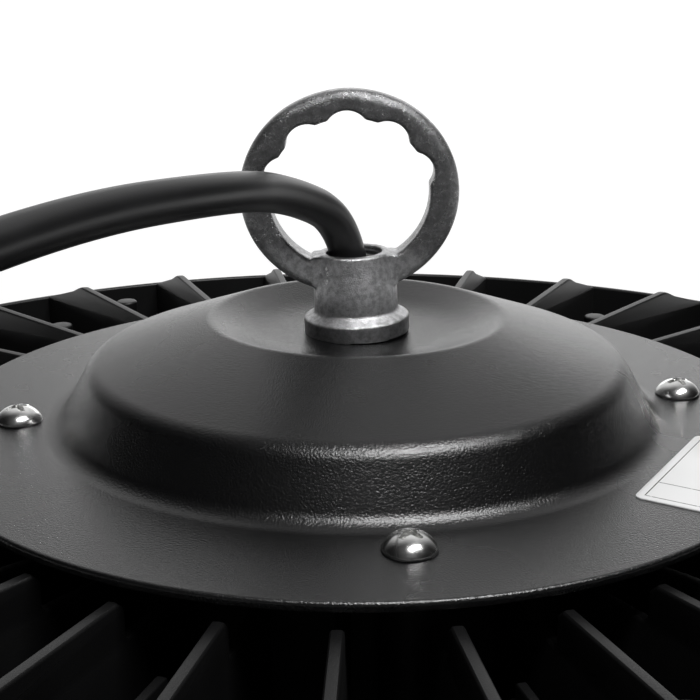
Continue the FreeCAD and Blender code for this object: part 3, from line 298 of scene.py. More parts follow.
@dataclass(frozen=True)
class CastMetal:
    """Bare diecast metal with a satin skin and faint flow marks, with a painted highlight along its
    sharp edges and a painted sheen that makes it lighter below a set height.
    """

    name: str
    colour: Colour
    # Colour of the painted highlight along the sharp edges.
    print_wear_and_edge_highlight: Colour
    roughness: float
    grain: float
    depth: float
    # Height below which the metal is painted lighter as a painted sheen, and by how much.
    painted_sheen_height: float
    border: float = 3 * MM
    painted_sheen_tone: float = 2.1
    stain_tones: Point = (1.2, 0.6)

    def material(self) -> bpy.types.Material:
        """A painted highlight on the edges where the surface turns sharply, and a painted sheen
        that makes the metal lighter below the sheen height.
        """
        surface = Surface(self.name)
        skin = surface.noise(self.grain, 4.0, 0.3, Roughness=0.6)
        flow = surface.noise(self.grain * 14, 3.0, 1.2)
        turn = surface.node("ShaderNodeNewGeometry", output="Pointiness")
        # Painted highlight: sharp convex edges, broken up by the flow noise, are painted in the
        # highlight colour and made glossier.
        edge = turn.eased(0.52, 0.6) * flow.eased(0.3, 0.6)
        stain = surface.noise(self.grain * 5, 5.0, 0.1, Roughness=0.7).eased(0.36, 0.66)
        # Painted sheen: below the set height the colour and the stain tones are painted lighter,
        # and the surface is a little rougher.
        height = surface.node("ShaderNodeSeparateXYZ", {}, {0: surface.place()}, "Z")
        above_painted_sheen = height.eased(self.painted_sheen_height - self.border, self.painted_sheen_height + self.border)
        metal = surface.blend(above_painted_sheen, toned(self.colour, self.painted_sheen_tone), self.colour)
        stained = surface.blend(above_painted_sheen, *(toned(self.colour, tone) for tone in self.stain_tones))
        dull = surface.blend(stain, metal, stained)
        gloss = flow * 0.1 + stain * 0.08 + (self.roughness - 0.02) - above_painted_sheen * 0.06 - edge * 0.1
        return surface.close(
            Base_Color=surface.blend(edge, dull, self.print_wear_and_edge_highlight),
            Metallic=1.0,
            Roughness=gloss,
            Normal=surface.bump(skin, self.depth),
        )


@dataclass(frozen=True)
class PlatedMetal:
    """Zinc or tin plate on a small fixing, bright, with rub marks."""

    name: str
    colour: Colour
    roughness: float
    marks: float = 0.12
    scratch: float = 0.9 * MM
    tarnish: float = 4 * MM
    depth: float = 0.012 * MM

    def material(self) -> bpy.types.Material:
        """Small scratches that change gloss and height."""
        surface = Surface(self.name)
        rub = surface.noise(self.scratch, 4.0, 2.0)
        tarnish = surface.noise(self.tarnish, 3.0, 0.5).eased(0.4, 0.75)
        return surface.close(
            Base_Color=surface.blend(tarnish, self.colour, toned(self.colour, 0.8)),
            Metallic=1.0,
            Roughness=rub * self.marks + (self.roughness - self.marks / 2),
            Normal=surface.bump(rub, self.depth),
        )


@dataclass(frozen=True)
class Moulding:
    """A moulded plastic, rubber or cable sheath."""

    name: str
    colour: Colour
    roughness: float
    grain: float = 0.4 * MM
    depth: float = 0.012 * MM
    metallic: float = 0.0
    tones: Point = (0.88, 1.1)

    def material(self) -> bpy.types.Material:
        """A fine mould grain and faint flow marks."""
        surface = Surface(self.name)
        grain = surface.noise(self.grain, 3.0)
        flow = surface.noise(self.grain * 30, 2.0, 0.8)
        low, high = (toned(self.colour, tone) for tone in self.tones)
        return surface.close(
            Base_Color=surface.blend(flow.eased(0.3, 0.7), low, high),
            Metallic=self.metallic,
            Roughness=flow * 0.1 + (self.roughness - 0.05),
            Normal=surface.bump(grain, self.depth),
        )


@dataclass(frozen=True)
class ClearMoulding:
    """Clear polycarbonate."""

    name: str
    tint: Colour
    roughness: float

    def material(self) -> bpy.types.Material:
        """Clear, with the faint waviness of a moulded plate."""
        surface = Surface(self.name)
        wave = surface.noise(6 * MM, 2.0)
        return surface.close(
            Base_Color=surface.blend(wave, self.tint, toned(self.tint, 0.96)),
            Roughness=wave * 0.04 + self.roughness,
            Transmission_Weight=1.0,
            IOR=1.58,
            Normal=surface.bump(wave, 0.02 * MM),
        )


@dataclass(frozen=True)
class RuledLabel:
    """A white printed sticker, ruled with a frame and one cross line and otherwise bare."""

    name: str
    paper: Colour
    ink: Colour
    width: float
    length: float
    inset: float
    line: float
    cell: float

    def material(self) -> bpy.types.Material:
        """The lines are drawn from the sticker's own coordinates."""
        surface = Surface(self.name)
        uv = surface.node("ShaderNodeTexCoord", output="UV")
        split = surface.node("ShaderNodeSeparateXYZ", {}, {0: uv}, "X")
        other = split.beside("Y")
        across = abs((split - 0.5) * self.width) - (self.width / 2 - self.inset)
        along = abs((other - 0.5) * self.length) - (self.length / 2 - self.inset)
        edge = abs(across.most(along)).below(self.line / 2)
        divider = abs(other * self.length - (self.inset + self.cell)).below(self.line / 2)
        inside = across.most(along).below(0.0)
        print_wear_and_edge_highlight = surface.noise(0.5 * MM, 2.0).eased(0.2, 0.45)
        print_mask = edge.most(divider * inside) * print_wear_and_edge_highlight
        fibre = surface.noise(0.25 * MM, 2.0)
        paper = surface.blend(fibre, self.paper, toned(self.paper, 0.97))
        return surface.close(
            Base_Color=surface.blend(print_mask, paper, self.ink),
            Roughness=fibre * 0.08 + 0.36,
            Normal=surface.bump(fibre, 0.004 * MM),
        )


class Finish(Enum):
    """The finishes of the light."""

    CASTING = PowderCoat(
        "casting_coat", (0.003, 0.003, 0.0032), 0.44, 0.4 * MM, 0.04 * MM, shine=0.5
    )
    COVER = PowderCoat(
        "cover_wrinkle_coat", (0.002, 0.002, 0.0022), 0.27, 0.4 * MM, 0.1 * MM, 0.04, 0.1, 0.74
    )
    # The last figure is the height below which the zinc is painted lighter, as a painted sheen.
    # The second colour is painted on the sharp edges as a painted highlight.
    ZINC = CastMetal(
        "cast_zinc", (0.3, 0.3, 0.305), (0.85, 0.85, 0.85), 0.29, 0.28 * MM, 0.16 * MM, 117 * MM
    )
    SCREW = PlatedMetal("bright_zinc_plate", (0.85, 0.85, 0.84), 0.2)
    STEEL = PlatedMetal("plated_steel", (0.62, 0.62, 0.6), 0.26)
    TIN = PlatedMetal("tinned_copper", (0.78, 0.76, 0.72), 0.24)
    SHEATH = Moulding("cable_sheath", (0.007, 0.007, 0.0075), 0.37)
    SEAL = Moulding("silicone_seal", (0.35, 0.35, 0.36), 0.55)
    RUBBER = Moulding("black_rubber", (0.02, 0.02, 0.02), 0.6)
    DRIVER = Moulding("driver_case", (0.62, 0.63, 0.64), 0.42, metallic=0.8)
    BLOCK = Moulding("terminal_block", (0.75, 0.74, 0.7), 0.4)
    BOARD = Moulding("white_solder_mask", (0.86, 0.86, 0.84), 0.38)
    PHOSPHOR = Moulding("phosphor", (0.9, 0.72, 0.2), 0.5)
    BLUE = Moulding("blue_core", (0.03, 0.14, 0.5), 0.4)
    BROWN = Moulding("brown_core", (0.16, 0.06, 0.025), 0.4)
    EARTH = Moulding("earth_core", (0.35, 0.5, 0.04), 0.4)
    RED = Moulding("red_lead", (0.55, 0.03, 0.03), 0.4)
    LENS = ClearMoulding("clear_lens", (0.97, 0.98, 0.98), 0.06)

    def made(self) -> bpy.types.Material:
        """The finish's one material, made when it is first asked for."""
        return bpy.data.materials.get(self.value.name) or self.value.material()


# ---- shapes


def rounded(corners: Sequence[Corner], step: float = 11.25, closed: bool = True) -> List[Point]:
    """Round the corners of an outline.

    Args:
        corners: x, y and the radius of each corner.
        step: largest turn between two points of an arc, in degrees.
        closed: whether the outline closes.

    Returns:
        The outline's points.
    """
    points: List[Point] = []
    count = len(corners)
    for number, (x, y, radius) in enumerate(corners):
        here = Vector((x, y))
        last = not closed and number in (0, count - 1)
        if radius <= 0 or last:
            points.append((x, y))
            continue
        before = Vector(corners[number - 1][:2]) - here
        after = Vector(corners[(number + 1) % count][:2]) - here
        back, ahead = before.normalized(), after.normalized()
        turn = math.pi - back.angle(ahead)
        reach = min(radius * math.tan(turn / 2), 0.499 * min(before.length, after.length))
        size = reach / math.tan(turn / 2)
        middle = here + (back + ahead).normalized() * math.hypot(size, reach)
        start = here + back * reach - middle
        side = 1.0 if back.cross(ahead) < 0 else -1.0
        steps = max(2, math.ceil(math.degrees(turn) / step))
        for part in range(steps + 1):
            angle = side * turn * part / steps
            spun = Matrix.Rotation(angle, 2) @ start
            points.append(tuple(middle + spun))
    return points


def inward(points: Sequence[Point], distance: float) -> List[Point]:
    """Move an outline inwards.

    Args:
        points: a closed outline that runs anticlockwise.
        distance: how far each side moves.

    Returns:
        The moved outline, point for point.
    """
    moved = []
    for number, point in enumerate(points):
        here = Vector(point)
        back = (here - Vector(points[number - 1])).normalized()
        ahead = (Vector(points[(number + 1) % len(points)]) - here).normalized()
        first, second = Vector((-back.y, back.x)), Vector((-ahead.y, ahead.x))
        middle = (first + second).normalized()
        moved.append(tuple(here + middle * (distance / max(0.4, middle.dot(first)))))
    return moved


class Shell:
    """Points and faces that are gathered before they become a piece."""

    def __init__(self) -> None:
        """Start with nothing."""
        self.points: List[Vector] = []
        self.faces: List[Tuple[int, ...]] = []
        self.uvs: Dict[int, Point] = {}

    def grid(
        self,
        rows: Sequence[Sequence[Vector]],
        wrap_rows: bool = False,
        wrap_columns: bool = False,
    ) -> int:
        """Add a sheet of four-sided faces.

        Args:
            rows: equally long rows of points.
            wrap_rows: join the last row to the first.
            wrap_columns: join each row's end to its start.

        Returns:
            Number of the sheet's first point.
        """
        start, wide, tall = len(self.points), len(rows[0]), len(rows)
        for row in rows:
            self.points.extend(Vector(point) for point in row)
        for i in range(tall if wrap_rows else tall - 1):
            for j in range(wide if wrap_columns else wide - 1):
                right, up = (j + 1) % wide, (i + 1) % tall
                square = ((i, j), (i, right), (up, right), (up, j))
                self.faces.append(tuple(start + a * wide + b for a, b in square))
        return start

    def cap(self, numbers: Sequence[int]) -> None:
        """Close a loop with one face."""
        self.faces.append(tuple(numbers))

    def close_ends(self, start: int, wide: int, last: int) -> None:
        """Cap the first and the last row of a sheet.

        Args:
            start: the sheet's first point.
            wide: points in a row.
            last: number of the last row.
        """
        self.cap([start + k for k in reversed(range(wide))])
        self.cap([start + last * wide + k for k in range(wide)])

    def fan(self, centre: Vector, start: int, count: int, flip: bool) -> None:
        """Close a ring of points with triangles.

        Args:
            centre: their middle point.
            start: first point of the ring.
            count: points in the ring.
            flip: turn the faces over.
        """
        middle = len(self.points)
        self.points.append(Vector(centre))
        for number in range(count):
            pair = (start + number, start + (number + 1) % count)
            self.faces.append((middle, *(reversed(pair) if flip else pair)))

    def lathe(self, profile: Sequence[Point], steps: int, place: Vector = Vector()) -> None:
        """Turn a profile of radius and height about an upright line.

        Args:
            profile: closed, or open with its two ends on the axis.
            steps: points round.
            place: where the axis stands.
        """
        capped = profile[0][0] < 1e-7 and profile[-1][0] < 1e-7
        body = profile[1:-1] if capped else profile
        turn = 2 * math.pi / steps
        circle = [Vector((math.cos(turn * k), math.sin(turn * k), 0.0)) for k in range(steps)]
        rows = [[place + way * radius + Vector((0, 0, z)) for way in circle] for radius, z in body]
        start = self.grid(rows, wrap_rows=not capped, wrap_columns=True)
        if capped:
            self.fan(place + Vector((0, 0, profile[0][1])), start, steps, True)
            end = start + (len(body) - 1) * steps
            self.fan(place + Vector((0, 0, profile[-1][1])), end, steps, False)

    def slab(
        self,
        outline: Sequence[Point],
        half: Callable[[float], float],
        edge: float,
        place: Matrix,
        steps: int = 6,
    ) -> None:
        """Add an upright plate with rounded edges.

        Args:
            outline: closed anticlockwise outline in the plate's x and z.
            half: half the thickness at a height.
            edge: radius of the rounding along its edges.
            place: where the plate goes.
            steps: steps across the rounding.
        """
        rows = []
        for part in range(steps + 1):
            angle = math.pi * (part / steps - 0.5)
            moved = inward(outline, edge * (1 - math.cos(angle)))
            side = math.copysign(1.0, angle) if abs(angle) > 1e-6 else 0.0
            rows.append(
                [
                    place @ Vector((x, side * (half(z) - edge) + edge * math.sin(angle), z))
                    for x, z in moved
                ]
            )
        self.close_ends(self.grid(rows, wrap_columns=True), len(outline), steps)

    def piece(
        self, name: str, finish: bpy.types.Material, slot: str, sharp: float = 40.0
    ) -> bpy.types.Object:
        """Make the piece.

        Args:
            name: its name.
            finish: its material.
            slot: its material slot in the record, which is not used.
            sharp: edges that turn more than this, in degrees, stay sharp.

        Returns:
            The object.
        """
        mesh = bpy.data.meshes.new(name)
        mesh.from_pydata([tuple(point) for point in self.points], [], self.faces)
        mesh.validate()
        if self.uvs:
            layer = mesh.uv_layers.new(name="place")
            for loop in mesh.loops:
                layer.data[loop.index].uv = self.uvs[loop.vertex_index]
        made = placed(name, mesh)
        turn_outwards(mesh)
        soften(mesh, sharp)
        settle(made, finish)
        return made


def placed(name: str, data: bpy.types.ID) -> bpy.types.Object:
    """Put a mesh, curve, lamp or camera into the scene."""
    made = bpy.data.objects.new(name, data)
    bpy.context.scene.collection.objects.link(made)
    return made


def turn_outwards(mesh: bpy.types.Mesh) -> None:
    """Turn every face of a mesh outwards."""
    work = bmesh.new()
    work.from_mesh(mesh)
    bmesh.ops.recalc_face_normals(work, faces=work.faces)
    work.to_mesh(mesh)
    work.free()


def soften(mesh: bpy.types.Mesh, sharp: float) -> None:
    """Shade a mesh smooth, apart from the edges that turn more than an angle in degrees."""
    for face in mesh.polygons:
        face.use_smooth = True
    mesh.set_sharp_from_angle(angle=math.radians(sharp))


def settle(piece: bpy.types.Object, finish: bpy.types.Material) -> None:
    """Give a piece its material and its body, and report it."""
    piece.data.materials.clear()
    piece.data.materials.append(finish)
    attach(piece, BODY)
    count = len(piece.data.polygons) if piece.type == "MESH" else 0
    LOG.info("%s: %d faces", piece.name, count)


def stood(place: Vector, angle: float) -> Matrix:
    """Move to a place and turn about the upright line there by an angle in degrees."""
    return Matrix.Translation(place) @ Matrix.Rotation(math.radians(angle), 4, "Z")


def spot(angle: float, radius: float, height: float = 0.0) -> Vector:
    """The point at an angle in degrees, a radius and a height."""
    turn = math.radians(angle)
    return Vector((radius * math.cos(turn), radius * math.sin(turn), height))


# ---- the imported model


@dataclass(frozen=True)
class Datum:
    """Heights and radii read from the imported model."""

    axis: Vector
    floor: float
    flange: float
    dish: float
    rim: float
    cover: float
    eye_top: float

    @classmethod
    def read(cls) -> "Datum":
        """Take them from the nodes' boxes."""
        low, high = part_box("heat_sink")
        cover_low, cover_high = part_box("driver_cover")
        return cls(
            axis=Vector(((low.x + high.x) / 2, (low.y + high.y) / 2, 0.0)),
            floor=CAD_BOX[0].z,
            flange=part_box("inspection_label")[0].z,
            dish=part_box("ring_seal")[0].z,
            rim=(high.x - low.x) / 2,
            cover=(cover_high.x - cover_low.x) / 2,
            eye_top=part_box("hanging_ring")[1].z,
        )


# ---- camera and studio


@dataclass(frozen=True)
class Lamp:
    """A rectangular lamp: power in watts, where its middle hangs, width and height."""

    name: str
    power: float
    place: Place
    size: Point

    def hang(self) -> None:
        """Hang it facing the light, out of the camera's view."""
        data = bpy.data.lights.new(self.name, "AREA")
        data.shape = "RECTANGLE"
        data.size, data.size_y = self.size
        data.energy = self.power
        lamp = placed(self.name, data)
        lamp.location = self.place
        lamp.rotation_euler = Vector(self.place).to_track_quat("Z", "Y").to_euler()
        lamp.visible_camera = False


@dataclass
class Studio:
    """Camera, lamps, floor and world."""

    datum: Datum
    stand_off: float = 277.1 * MM
    above_flange: float = 98.2 * MM
    pitch: float = 0.2989
    yaw: float = -0.0055
    roll: float = -0.002
    lens: float = 69.8
    lamps: Tuple[Lamp, ...] = (
        Lamp("overhead_lamp", 15.0, (0.32, -0.42, 1.22), (0.75, 0.19)),
        Lamp("back_lamp", 4.6, (0.35, 2.5, 0.65), (2.0, 0.8)),
        Lamp("front_lamp", 0.12, (0.15, -1.6, 1.15), (1.1, 0.6)),
    )
    diffuse_level: float = 0.2
    front_level: float = 0.045
    back_level: float = 0.8
    side_level: float = 0.15
    floor_reach: float = 12.0
    floor_drop: float = 0.2 * MM
    floor_glow: float = 1.12

    def add_camera(self) -> None:
        """Stand the camera in front of the light, looking down at the ring."""
        data = bpy.data.cameras.new("camera")
        data.sensor_width = 36.0
        data.lens = self.lens
        data.clip_start = 0.01
        data.clip_end = 100.0
        camera = placed("camera", data)
        flat = math.cos(self.pitch)
        ahead = Vector(
            (math.sin(self.yaw) * flat, math.cos(self.yaw) * flat, -math.sin(self.pitch))
        )
        right = Vector((math.cos(self.yaw), -math.sin(self.yaw), 0.0))
        up = right.cross(ahead)
        turned_right = right * math.cos(self.roll) + up * math.sin(self.roll)
        turned_up = up * math.cos(self.roll) - right * math.sin(self.roll)
        place = Matrix((turned_right, turned_up, -ahead)).transposed().to_4x4()
        height = self.datum.flange + self.above_flange
        place.translation = self.datum.axis + Vector((0.0, -self.stand_off, height))
        camera.matrix_world = place
        bpy.context.scene.camera = camera

    def add_floor(self) -> None:
        """A white floor that keeps a soft shadow."""
        shell = Shell()
        reach = self.floor_reach
        low = self.datum.floor - self.floor_drop
        shell.grid([[Vector((x, y, low)) for x in (-reach, reach)] for y in (-reach, reach)])
        mesh = bpy.data.meshes.new("floor")
        mesh.from_pydata([tuple(point) for point in shell.points], [], shell.faces)
        floor = placed("floor", mesh)
        mesh.materials.append(self._floor_material())

    @staticmethod
    def _seen(graph: Graph) -> Signal:
        """One for camera, mirror and glass rays."""
        rays = graph.node("ShaderNodeLightPath", output="Is Camera Ray")
        return rays.most(rays.beside("Is Glossy Ray")).most(rays.beside("Is Transmission Ray"))

    def _floor_material(self) -> bpy.types.Material:
        """Matt white with a glow for seen rays, and dimmer in mirrors on the unlit front side."""
        surface = Surface("studio_floor")
        matt = surface.node("ShaderNodeBsdfDiffuse", {}, {"Color": (0.9, 0.9, 0.9, 1.0)})
        glow = surface.node("ShaderNodeEmission", {}, {"Strength": self.floor_glow})
        length = {"operation": "LENGTH"}
        reach = surface.node("ShaderNodeVectorMath", length, {0: surface.place()}, 1)
        share = self._seen(surface) * reach.eased(0.3, 1.1, 0.75, 1.0)
        mixed = surface.node("ShaderNodeMixShader", {}, {0: share, 1: matt, 2: glow})
        dark = surface.node("ShaderNodeBsdfDiffuse", {}, {"Color": (0.0, 0.0, 0.0, 1.0)})
        mirror = surface.node("ShaderNodeLightPath", output="Is Glossy Ray")
        front = surface.node("ShaderNodeSeparateXYZ", {}, {0: surface.place()}, "Y")
        dim = mirror * front.eased(-0.7, 0.15, 0.6, 0.0)
        dimmed = surface.node("ShaderNodeMixShader", {}, {0: dim, 1: mixed, 2: dark})
        surface.node("ShaderNodeOutputMaterial", {}, {"Surface": dimmed})
        return surface.material

    def add_world(self) -> None:
        """White all round, darker on the side of the camera where the room is unlit."""
        world = bpy.data.worlds.new("studio")
        world.use_nodes = True
        graph = Graph(world.node_tree)
        way = graph.node("ShaderNodeTexCoord", output="Generated")
        back = graph.node("ShaderNodeSeparateXYZ", {}, {0: way}, "Y")
        aside = abs(back.beside("X")).eased(0.35, 0.85, 1.0, self.side_level)
        behind = back + back.beside("Z") * 0.45
        room = behind.eased(0.35, 1.08, self.front_level, self.back_level) * aside
        camera = graph.node("ShaderNodeLightPath", output="Is Camera Ray")
        shown = camera.most(room)
        seen = self._seen(graph)
        level = seen * shown + (1 - seen) * self.diffuse_level
        sky = graph.node(
            "ShaderNodeBackground", {}, {"Color": (1.0, 1.0, 1.0, 1.0), "Strength": level}
        )
        graph.node("ShaderNodeOutputWorld", {}, {"Surface": sky})
        bpy.context.scene.world = world
        bpy.context.scene.view_settings.view_transform = "Standard"

    def build(self) -> None:
        """A broad lamp overhead, a low one behind and a faint one in front, floor and world."""
        for lamp in self.lamps:
            lamp.hang()
        self.add_floor()
        self.add_world()


# ---- lead


@dataclass
class Lead:
    """The mains cable: out of the ring's mouth, over the fins and down to the floor."""

    diameter: float = 7.6 * MM
    length: float = 0.6
    exit: Place = (0.0, 0.0, 0.08)
    route: Tuple[Place, ...] = (
        (0.0, 0.0, 0.08),
        (0.0001, 0.0001, 0.1),
        (-0.0027, 0.0018, 0.123),
        (-0.0144, -0.0163, 0.132),
        (-0.0232, -0.0411, 0.1366),
        (-0.0438, -0.0728, 0.1387),
        (-0.0679, -0.1113, 0.1344),
        (-0.098, -0.15, 0.112),
        (-0.134, -0.178, 0.068),
        (-0.17, -0.18, 0.026),
        (-0.197, -0.15, 0.004),
        (-0.209, -0.1, 0.004),
        (-0.211, -0.05, 0.004),
        (-0.205, 0.004, 0.004),
        (-0.192, 0.056, 0.004),
    )

    def build(self) -> None:
        """The sheath as one smooth curve, in place of the model's cable."""
        curve = bpy.data.curves.new("power_lead_sheath", "CURVE")
        curve.dimensions = "3D"
        curve.resolution_u = 14
        curve.bevel_depth = self.diameter / 2
        curve.bevel_resolution = 7
        curve.use_fill_caps = True
        spline = curve.splines.new("NURBS")
        spline.points.add(len(self.route) - 1)
        for point, place in zip(spline.points, self.route):
            point.co = (*place, 1.0)
        spline.order_u = 3
        spline.use_endpoint_u = True
        piece = placed("power_lead_sheath", curve)
        settle(piece, Finish.SHEATH.made())
        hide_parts("power_cable")


# ---- casting


@dataclass
class Casting:
    """The finned heat sink with its band, housing wall, bosses, posts and ribs."""

    datum: Datum
    wall: float = 2.2 * MM
    lip_wall: float = 4.0 * MM
    band_drop: float = 14.0 * MM
    board_height: float = 12 * MM
    seat_height: float = 9 * MM
    land_height: float = 5 * MM
    floor_height: float = 18 * MM
    recess: Point = (143 * MM, 153 * MM)
    housing: Point = (62.5 * MM, 67.5 * MM)
    buried: float = 0.6 * MM
    crest_drop: float = 4.7 * MM
    ledge_drop: float = 12 * MM
    fins: int = 30
    phase: float = 4.0
    half_fin: float = 1.2 * MM
    draft: float = 0.008
    edge: float = 0.7 * MM
    start: float = 88 * MM
    posts: Tuple[Corner, ...] = (
        (58, 134, 11.5),
        (70, 132, 10.5),
        (118, 131, 30),
        (130, 134, 11),
        (58, 156, 30),
        (70, 157, 30),
        (118, 155, 13),
        (130, 156, 30),
        (238, 108, 15),
        (286, 95, 17),
        (298, 108, 15),
        (10, 132, 10.5),
        (178, 132, 10.5),
        (190, 156, 13),
        (358, 156, 13),
    )
    post_radii: Point = (3.55 * MM, 3.2 * MM)
    ribs: Point = (250.6, 286.0)
    half_rib: float = 0.9 * MM
    boss_radii: Point = (5.3 * MM, 5 * MM)
    boss_drop: float = 1.85 * MM
    screw_circle: float = 71.7 * MM
    screw_phase: float = 7.0

    @property
    def top(self) -> float:
        """Height of the pan's upper face."""
        return self.datum.floor + self.floor_height

    def body(self, shell: Shell) -> None:
        """The pan, the band and the housing wall."""
        floor, top = self.datum.floor, self.top
        under, seat = floor + self.board_height, floor + self.seat_height
        land = floor + self.land_height
        rim, flange = self.datum.rim, self.datum.flange
        inner, lip = rim - self.wall, rim - self.lip_wall
        band = flange - self.band_drop
        board, lens = self.recess
        bore, outer = self.housing
        wall_top = flange - 3 * MM
        corners = [
            (0, under, 0),
            (board, under, 0.5 * MM),
            (board, seat, 0.3 * MM),
            (lens, seat, 0.3 * MM),
            (lens, land, 0.4 * MM),
            (lip, land, 0.3 * MM),
            (lip, floor, 0.9 * MM),
            (rim, floor, 1.2 * MM),
            (rim, band, 0.9 * MM),
            (inner, band, 0.7 * MM),
            (inner, top, 2 * MM),
            (outer, top, 2 * MM),
            (outer, wall_top, 0.5 * MM),
            (bore, wall_top, 0.5 * MM),
            (bore, top, 1.5 * MM),
            (0, top, 0),
        ]
        shell.lathe(rounded(corners, 22.5, closed=False), 240, self.datum.axis)

    def fin_outline(self) -> List[Point]:
        """Side of a fin: ledge under the cover, rounded crest, hollow sweep to the band."""
        rim, flange = self.datum.rim, self.datum.flange
        foot = self.top - self.buried
        root, tail = self.housing[1] - self.buried, rim - self.wall + self.buried
        top, ledge = flange - self.crest_drop, flange - self.ledge_drop
        corners = [
            (root, foot, 0),
            (tail, foot, 0),
            (tail, flange - self.band_drop, 0.5 * MM),
            (rim - 22 * MM, flange - 7.8 * MM, 26 * MM),
            (rim - 29 * MM, flange - 4.9 * MM, 12 * MM),
            (self.start + 1.6 * MM, top, 0.9 * MM),
            (self.start, top - 1.6 * MM, 0.9 * MM),
            (self.start, ledge, 1 * MM),
            (root, ledge, 0),
        ]
        return rounded(corners, 6.0)

    def add_fins(self, shell: Shell) -> None:
        """Every fin, drawn thinner towards its rounded top."""
        outline = self.fin_outline()
        top = self.datum.flange - self.crest_drop
        for number in range(self.fins):
            place = stood(self.datum.axis, self.phase + 360 / self.fins * number)
            shell.slab(outline, lambda z: self.half_fin + (top - z) * self.draft, self.edge, place)

    def add_peg(self, shell: Shell, place: Vector, radii: Point, top: float, turn: Point) -> None:
        """Stand a tapered peg on the floor of the pan.

        Args:
            shell: where it is added.
            place: where it stands.
            radii: at its foot and at its top.
            top: height of its top.
            turn: rounding at the top, and the largest turn between two points of it.
        """
        foot = self.top - self.buried
        corners = [(0, foot, 0), (radii[0], foot, 0), (radii[1], top, turn[0]), (0, top, 0)]
        shell.lathe(rounded(corners, turn[1], closed=False), 40, place)

    def add_posts(self, shell: Shell) -> None:
        """Ejector posts, cover-screw bosses and low ribs."""
        axis, flange = self.datum.axis, self.datum.flange
        foot = self.top - self.buried
        for angle, radius, drop in self.posts:
            place = axis + spot(angle, radius * MM)
            self.add_peg(shell, place, self.post_radii, flange - drop * MM, (0.7 * MM, 22.5))
        for number in range(4):
            place = axis + spot(self.screw_phase + 90 * number, self.screw_circle)
            self.add_peg(shell, place, self.boss_radii, flange - self.boss_drop, (0.5 * MM, 30))
        for angle in self.ribs:
            top = flange - self.band_drop
            corners = [
                (92 * MM, foot, 0),
                (104 * MM, foot, 0),
                (103.6 * MM, top, 1 * MM),
                (92.4 * MM, top, 1 * MM),
            ]
            place = stood(self.datum.axis, angle)
            shell.slab(rounded(corners, 22.5), lambda z: self.half_rib, 0.4 * MM, place)

    def build(self) -> None:
        """The whole casting as one piece."""
        shell = Shell()
        self.body(shell)
        self.add_fins(shell)
        self.add_posts(shell)
        piece = shell.piece("finned_casting", Finish.CASTING.made(), "heat_sink", 35.0)
        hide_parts("heat_sink")


# ---- cover


@dataclass
class Cover:
    """The spun cover: flat flange, steep wall, shallow cone and a dish for the ring."""

    datum: Datum
    sheet: float = 1.8 * MM
    wall: float = 2.2 * MM
    foot: float = 63.3 * MM
    shoulder: Point = (56.5 * MM, 12.2 * MM)
    ridge: Point = (31.0 * MM, 21.15 * MM)
    dish: float = 20.5 * MM
    hole: float = 8.3 * MM

    def build(self) -> None:
        """One shell, spun about the axis."""
        flange, dish = self.datum.flange, self.datum.dish
        outer, wall = self.datum.cover, self.wall
        side, rise = self.shoulder
        crest, crest_rise = self.ridge
        under = flange - self.sheet
        corners = [
            (self.hole, dish - wall, 0),
            (self.dish + wall * 0.2, dish - wall, 22 * MM),
            (crest, flange + crest_rise - wall * 1.08, 2 * MM),
            (side - wall * 0.75, flange + rise - wall * 0.8, 4.5 * MM),
            (self.foot - wall, under, 1 * MM),
            (outer, under, 0.4 * MM),
            (outer, flange, 0.8 * MM),
            (self.foot, flange, 5 * MM),
            (side, flange + rise, 6.4 * MM),
            (crest, flange + crest_rise, 3 * MM),
            (self.dish, dish, 24 * MM),
            (self.hole, dish, 0),
        ]
        shell = Shell()
        shell.lathe(rounded(corners, 4.5), 288, self.datum.axis)
        piece = shell.piece("spun_cover", Finish.COVER.made(), "cover", 50.0)
        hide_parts("driver_cover")


